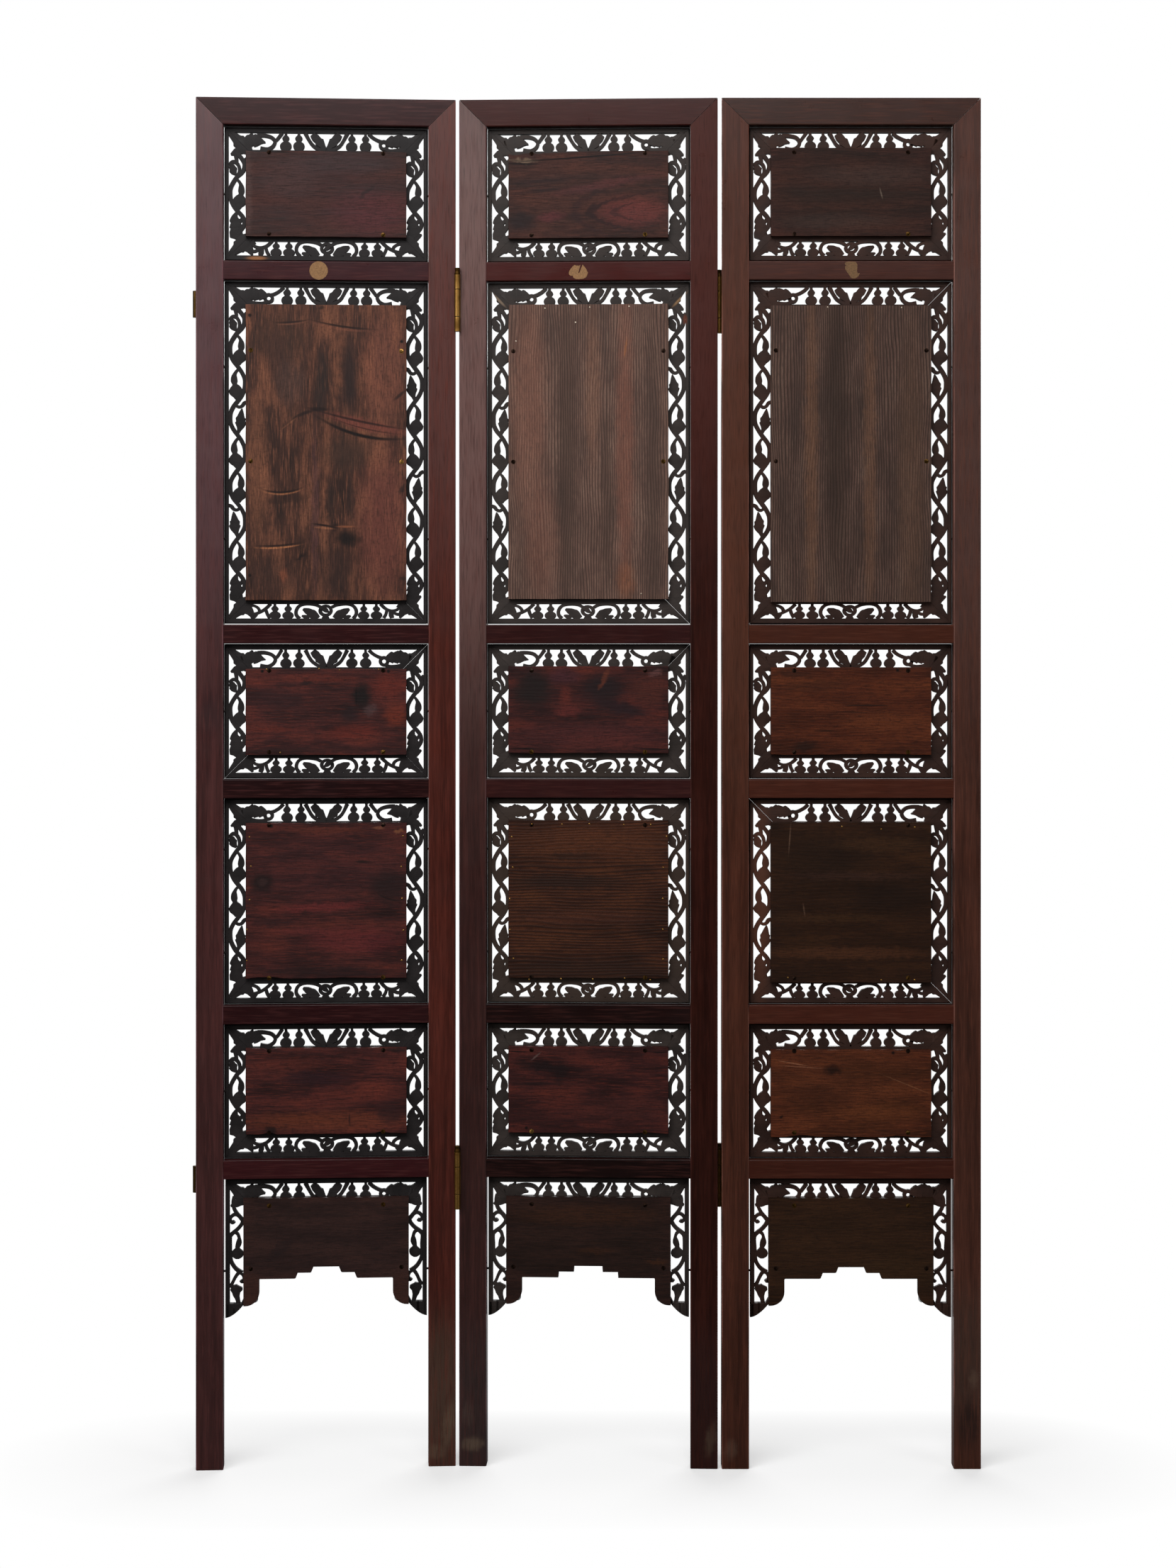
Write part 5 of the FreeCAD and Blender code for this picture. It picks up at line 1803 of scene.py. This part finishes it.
class SCREEN_OT_hinges(bpy.types.Operator):
    """Brass butt hinges between the leaves and the halves left on the outer edge"""

    bl_idname = "screen.hinges"
    bl_label = "Hinges"

    def execute(self, context):
        brass = context.scene.screen_colours.brass
        metal = aged_brass("Aged brass hinge", brass, 0.25)
        dark = aged_brass("Tarnished brass pin head", toned(brass, 0.35), 0.8)
        brown = aged_brass("Brown brass of the unused hinge halves", toned(brass, 0.3), 0.6)
        steel = aged_brass("Blackened hinge screw", linear("3a2a1e"), 0.8)
        for side, ways in HINGE_WAYS.items():
            bm = bmesh.new()
            for way in ways:
                self.halves(bm, *way, side != "middle", False)
            node = f"{side}_hinge_plates"
            finish_piece(f"{node}_brass", bm, side, [metal], [node], 30)
        bm = bmesh.new()
        self.halves(bm, *OUTER_WAY, True, True)
        name, node = "left_outer_hinge_brass", "left_outer_hinge_halves"
        finish_piece(name, bm, "left", [brown], [node], 30)
        self.pins(dark)
        self.plate_screws(steel)
        return {"FINISHED"}

    def halves(self, bm, left, front, middle, hollow):
        """Plate and knuckles of a hinge half at both heights, made at the right edge, mirrored."""
        part = bmesh.new()
        inner, outer = HALF_LEAF - 2, HALF_LEAF + PLATE_PROUD
        for z in HINGE_LEVELS:
            low, high = z - HINGE_HEIGHT / 2, z + HINGE_HEIGHT / 2
            corner = (outer, -HALF_DEPTH + PLATE_WIDTH, high)
            plate = bar(part, (inner, -HALF_DEPTH - PLATE_PROUD, low), corner)
            ease(part, edges_of(plate), 0.3, 2)
            spans = [(low, z - KNUCKLE_SPACE), (z + KNUCKLE_SPACE, high)]
            if middle:
                spans = [(z - KNUCKLE_HALF, z + KNUCKLE_HALF)]
            for z0, z1 in spans:
                wing = bar(part, (inner, PIN_Y, z0), (outer, -HALF_DEPTH + 1, z1))
                ease(part, edges_of(wing), 0.2, 1)
                place = Matrix.Translation((PIN_X, PIN_Y, (z0 + z1) / 2))
                knuckle = rod(part, place, z1 - z0, BARREL, BARREL, 28)
                ease(part, [e for e in edges_of(knuckle) if not runs_along(e, 2)], 0.35, 2)
                if hollow:
                    self.bore(part, z)
        bmesh.ops.scale(part, vec=(left, front, 1), verts=part.verts)
        lay(bm, part, Matrix.Identity(4))

    def bore(self, part, z):
        """Sink the round ends of the knuckle about a height, where its pin is gone."""
        outside = [f for f in part.faces if f.calc_center_median().y < -HALF_DEPTH]
        caps = [f for f in outside if abs(f.normal.z) > 0.9 and f.calc_area() > 30]
        bmesh.ops.inset_region(part, faces=caps, thickness=1.6)
        for cap in caps:
            inwards = math.copysign(14, z - cap.calc_center_median().z)
            thicken(part, [cap], (0, 0, inwards))

    def pins(self, metal):
        """Pins with waisted button heads, turned on a lathe."""
        bm = bmesh.new()
        for left, front in HINGE_WAYS["middle"]:
            x, y = left * PIN_X, front * PIN_Y
            for z in HINGE_LEVELS:
                top = z + HINGE_HEIGHT / 2 + 0.02
                verts = [bm.verts.new((x + r, y, top + h)) for r, h in PIN_PROFILE]
                edges = [bm.edges.new(pair) for pair in zip(verts, verts[1:])]
                bmesh.ops.spin(
                    bm,
                    geom=verts + edges,
                    cent=(x, y, 0),
                    axis=(0, 0, 1),
                    angle=math.tau,
                    steps=24,
                    use_merge=True,
                )
                rod(bm, Matrix.Translation((x, y, z)), HINGE_HEIGHT, 2.0, 2.0, 16)
        bmesh.ops.remove_doubles(bm, verts=bm.verts, dist=0.01)
        node = "middle_hinge_pins"
        finish_piece(f"{node}_turned", bm, "middle", [metal], [node], 30)

    def plate_screws(self, metal):
        """Screws through the hinge plates into the edges of the stiles."""
        head = slotted_screw()
        rng = random.Random(9)
        for side, ways in HINGE_WAYS.items():
            bm = bmesh.new()
            for left, front in ways + ((OUTER_WAY,) if side == "left" else ()):
                for z in HINGE_LEVELS:
                    for rise in PLATE_SCREWS:
                        middle = front * (-HALF_DEPTH + PLATE_WIDTH / 2)
                        place = Matrix.Translation((left * (HALF_LEAF + 0.1), middle, z + rise))
                        face = Matrix.Rotation(left * math.radians(90), 4, "Y")
                        turn = Matrix.Rotation(rng.uniform(0, math.pi), 4, "Z")
                        press(bm, head, place @ face @ turn)
            node = f"{side}_hinge_screws"
            finish_piece(f"{node}_slotted", bm, side, [metal], [node])
        bpy.data.meshes.remove(head)


# Pegs: how far they reach into the surround and the stile, and the open joint between these
PEG_IN, PEG_OUT, PEG_JOINT = 3, 8, 2
# Height of the apron's pegs above its straight edge
APRON_PEG = 9


class SCREEN_OT_pegs(bpy.types.Operator):
    """Bamboo pegs that hold the surrounds to the stiles"""

    bl_idname = "screen.pegs"
    bl_label = "Pegs"

    def execute(self, context):
        bamboo = plain_fibre("Dark bamboo", linear("1e1512"), 2.5, 0.6)
        middle = SURROUND_BACK + SURROUND_DEPTH / 2
        along = (HALF_SURROUND - PEG_IN + HALF_OPENING + PEG_OUT) / 2
        lying = Matrix.Rotation(math.pi / 2, 4, "Y")
        rows = [APRON_STRAIGHT + APRON_PEG]
        for name in SECTIONS:
            low, high = SURROUND_SPAN[name]
            quarter = (high - low + 2 * PEG_JOINT) / 4
            centre = (low + high) / 2
            pair = [centre - quarter, centre + quarter]
            rows += pair if name in ("large", "square") else [centre]
        for side in SIDES:
            bm = bmesh.new()
            for z in rows:
                for way in (-1, 1):
                    place = Matrix.Translation((way * along, middle, z)) @ lying
                    rod(bm, place, PEG_IN + PEG_JOINT + PEG_OUT, 1.4, 1.55, 10)
            ease(bm, [e for e in bm.edges if not runs_along(e, 0)], 0.2, 1)
            finish_piece(f"{side}_pegs_bamboo", bm, side, [bamboo], [f"{side}_pegs"])
        return {"FINISHED"}


# Outlines of the torn paper dots from the middle of their rails, the first with a slit
TORN_MIDDLE_DOT = (
    (-26, -2.7), (-25.3, -5), (-23.7, -6.3), (-20.5, -6.2), (-19.9, -8.9), (-16.8, -10.6),
    (-12.1, -10.8), (-7.5, -10.4), (-4, -9.3), (-1.7, -6.6), (-0.5, -2.3), (-2.1, 1.5), (-4.8, 5.4),
    (-7.5, 8.3), (-8.4, 6.6), (-11.6, -2.1), (-13.6, -3.1), (-10.2, 8.2), (-12.1, 7), (-16, 7.2),
    (-18.3, 8.1), (-21, 5.8), (-24.5, 1.5),
)
TORN_RIGHT_DOT = (
    (-8.9, 9.1), (-7.1, 6.6), (-8.3, 4.3), (-7.7, 0.8), (-3.9, -5), (-0.8, -9.7), (1.5, -11.2),
    (5.4, -11), (9.1, -8.5), (11.3, -3.9), (8.5, -4.3), (7.6, -1.2), (8.3, 7.3), (5.4, 11.2),
    (-0.8, 11.4), (-7, 11),
)


class SCREEN_OT_paper_dots(bpy.types.Operator):
    """Blank paper dots on the upper rails, one whole and two torn"""

    bl_idname = "screen.paper_dots"
    bl_label = "Paper dots"

    def execute(self, context):
        radius = context.scene.screen_sizes.paper_dot / MM / 2
        colour = context.scene.screen_colours.paper
        rail = (SURROUND_SPAN["upper"][0] + SURROUND_SPAN["large"][1]) / 2
        place = Matrix.Translation((0, -HALF_RAIL_DEPTH - 0.02, rail))
        stand = place @ Matrix.Rotation(math.pi / 2, 4, "X")
        looks = ((1.0, ()), (1.05, TORN_MIDDLE_DOT), (0.62, TORN_RIGHT_DOT))
        for side, (tone, torn) in zip(SIDES, looks):
            paper = plain_fibre(f"Kraft paper {side} dot", toned(colour, tone), 1.6, 0.85)
            bm = bmesh.new()
            if torn:
                bm.faces.new([bm.verts.new((x, z, 0)) for x, z in torn])
            else:
                whole = Matrix.Translation((-10, 0, 0))
                bmesh.ops.create_circle(bm, cap_ends=True, segments=48, radius=radius, matrix=whole)
            bmesh.ops.subdivide_edges(bm, edges=bm.edges[:], cuts=3)
            for vert in bm.verts if torn else ():
                across = noise.noise(vert.co * 0.9)
                up = noise.noise(vert.co * 1.1 + Vector((5, 5, 5)))
                vert.co += Vector((across, up, 0)) * 0.5
            thicken(bm, bm.faces[:], (0, 0, 0.22))
            bmesh.ops.transform(bm, matrix=stand, verts=bm.verts)
            finish_piece(f"{side}_paper_dot", bm, side, [paper], [])
        return {"FINISHED"}


def white_rays(tree, behind):
    """Rays that see the white background: the straight ones, and those with a share of mirrored."""
    path = add(tree, "LightPath")
    rays = {0: path.outputs["Is Camera Ray"], 1: path.outputs["Is Transmission Ray"]}
    direct = add(tree, "Math", rays, operation="MAXIMUM").outputs[0]
    rays = {0: path.outputs["Is Glossy Ray"], 1: behind}
    mirrored = add(tree, "Math", rays, operation="MULTIPLY").outputs[0]
    return direct, add(tree, "Math", {0: direct, 1: mirrored}, operation="MAXIMUM").outputs[0]


# Height of the photograph in pixels, and millimetres to a pixel at the leaves
PHOTO_HEIGHT = 2212
PHOTO_SCALE = 0.9466
# Camera's distance and height, and the height at the middle of the picture, in metres
CAMERA_DISTANCE = 4.0
CAMERA_HEIGHT = 1.08
PICTURE_MIDDLE = 0.914


class SCREEN_OT_stage(bpy.types.Operator):
    """White floor and background, soft studio lights and the camera"""

    bl_idname = "screen.stage"
    bl_label = "Stage"

    def execute(self, context):
        self.floor()
        self.lights(context.scene)
        self.world(context.scene)
        self.camera(context.scene)
        context.scene.view_settings.view_transform = "Standard"
        return {"FINISHED"}

    def floor(self):
        """Pale floor that keeps the shadow near the screen and fades to white further off."""
        bm = bmesh.new()
        bmesh.ops.create_grid(bm, x_segments=8, y_segments=8, size=30)
        mesh = bpy.data.meshes.new("studio_floor")
        bm.to_mesh(mesh)
        bm.free()
        material, tree = new_material("Matt white floor")
        where = add(tree, "TexCoord").outputs["Object"]
        axes = add(tree, "SeparateXYZ", {0: where})
        aside = add(tree, "Math", {0: axes.outputs["X"]}, operation="ABSOLUTE").outputs[0]
        reach = {0: aside, 1: HALF_LEAF * 3 * MM, 2: HALF_LEAF * 6 * MM, 4: 0.5}
        beside = add(tree, "MapRange", reach).outputs[0]
        flat = add(tree, "CombineXYZ", {"X": beside, "Y": axes.outputs["Y"]})
        away = add(tree, "VectorMath", {0: flat.outputs[0]}, operation="LENGTH").outputs["Value"]
        behind = add(tree, "MapRange", {0: axes.outputs["Y"], 4: 0.6}).outputs[0]
        direct, seen = white_rays(tree, behind)
        far = add(tree, "MapRange", {0: away, 1: 0.05, 2: 0.3, 3: 0.4}).outputs[0]
        white = add(tree, "Math", {0: far, 1: seen}, operation="MULTIPLY").outputs[0]
        paint = laid_over(tree, linear("6a6a6a"), linear("fcfcfc"), direct, 0, 1)
        matt = add(tree, "BsdfDiffuse", {"Color": paint})
        glow = add(tree, "Emission", {"Color": (1, 1, 1, 1), "Strength": 1.0})
        mixed = add(tree, "MixShader", {0: white, 1: matt.outputs[0], 2: glow.outputs[0]})
        add(tree, "OutputMaterial", {"Surface": mixed.outputs[0]})
        mesh.materials.append(material)
        floor = bpy.data.objects.new("studio_floor", mesh)
        bpy.context.scene.collection.objects.link(floor)

    def lights(self, scene):
        """Large soft box above the near side, weaker ones beside it and one behind."""
        for name, place, aim, size, power in (
            ("overhead_softbox", (-0.7, -2.5, 3.3), (0, 0, 1.2), (2.8, 1.6), 115),
            ("left_softbox", (-3.2, -2.6, 1.7), (0, 0, 1.0), (1.6, 2.2), 36),
            ("right_softbox", (3.0, -2.8, 1.5), (0, 0, 0.9), (1.4, 2.2), 26),
            ("rear_softbox", (0.4, 3.0, 2.6), (0, 0, 1.1), (3.0, 1.8), 70),
        ):
            lamp = bpy.data.lights.new(name, "AREA")
            lamp.shape = "RECTANGLE"
            lamp.size, lamp.size_y = size
            lamp.energy = power
            holder = bpy.data.objects.new(name, lamp)
            holder.location = place
            line = Vector(aim) - Vector(place)
            holder.rotation_euler = line.to_track_quat("-Z", "Y").to_euler()
            scene.collection.objects.link(holder)

    def world(self, scene):
        """White background to the eye, and a dim one for what it lights and mirrors in front."""
        world = bpy.data.worlds.new("studio")
        world.use_nodes = True
        tree = world.node_tree
        tree.nodes.clear()
        direction = add(tree, "SeparateXYZ", {0: add(tree, "TexCoord").outputs["Generated"]})
        reach = {0: direction.outputs["Y"], 1: 0.1, 2: 0.6, 4: 0.6}
        behind = add(tree, "MapRange", reach).outputs[0]
        level = add(tree, "MapRange", {0: white_rays(tree, behind)[1], 3: 0.08}).outputs[0]
        sky = add(tree, "Background", {"Color": (1, 1, 1, 1), "Strength": level})
        add(tree, "OutputWorld", {"Surface": sky.outputs[0]})
        scene.world = world

    def camera(self, scene):
        """Level camera at the photograph's distance, with its frame at the leaves."""
        frame_height = PHOTO_HEIGHT * PHOTO_SCALE * MM
        lens = bpy.data.cameras.new("camera")
        lens.sensor_fit = "VERTICAL"
        lens.sensor_height = 36.0
        lens.sensor_width = 27.0
        lens.lens = lens.sensor_height * CAMERA_DISTANCE / frame_height
        lens.shift_y = (PICTURE_MIDDLE - CAMERA_HEIGHT) / frame_height
        lens.clip_end = 200
        holder = bpy.data.objects.new("camera", lens)
        holder.location = (0.003, -CAMERA_DISTANCE - HALF_DEPTH * MM, CAMERA_HEIGHT)
        holder.rotation_euler = (math.radians(90), 0, 0)
        scene.collection.objects.link(holder)
        scene.camera = holder


class SCREEN_PT_panel(bpy.types.Panel):
    """Sizes, colours and build steps of the screen"""

    bl_label = "Folding Screen"
    bl_idname = "SCREEN_PT_panel"
    bl_space_type = "VIEW_3D"
    bl_region_type = "UI"
    bl_category = "Screen"

    def draw(self, context):
        for group in (context.scene.screen_sizes, context.scene.screen_colours):
            box = self.layout.box()
            for name in group.__annotations__:
                box.prop(group, name)
        for operator in OPERATORS:
            self.layout.operator(operator.bl_idname)


OPERATORS = (
    SCREEN_OT_stage,
    SCREEN_OT_stiles,
    SCREEN_OT_rails,
    SCREEN_OT_surrounds,
    SCREEN_OT_boards,
    SCREEN_OT_plaques,
    SCREEN_OT_screws,
    SCREEN_OT_hinges,
    SCREEN_OT_pegs,
    SCREEN_OT_paper_dots,
)
CLASSES = (ScreenSizes, ScreenColours) + OPERATORS + (SCREEN_PT_panel,)


def register():
    """Register the classes and the settings of the scene."""
    for entry in CLASSES:
        bpy.utils.register_class(entry)
    bpy.types.Scene.screen_sizes = PointerProperty(type=ScreenSizes)
    bpy.types.Scene.screen_colours = PointerProperty(type=ScreenColours)


def unregister():
    """Undo register."""
    del bpy.types.Scene.screen_colours
    del bpy.types.Scene.screen_sizes
    for entry in reversed(CLASSES):
        bpy.utils.unregister_class(entry)


def main():
    register()
    for operator in OPERATORS:
        group, name = operator.bl_idname.split(".")
        getattr(getattr(bpy.ops, group), name)()


if __name__ == "__main__":
    main()
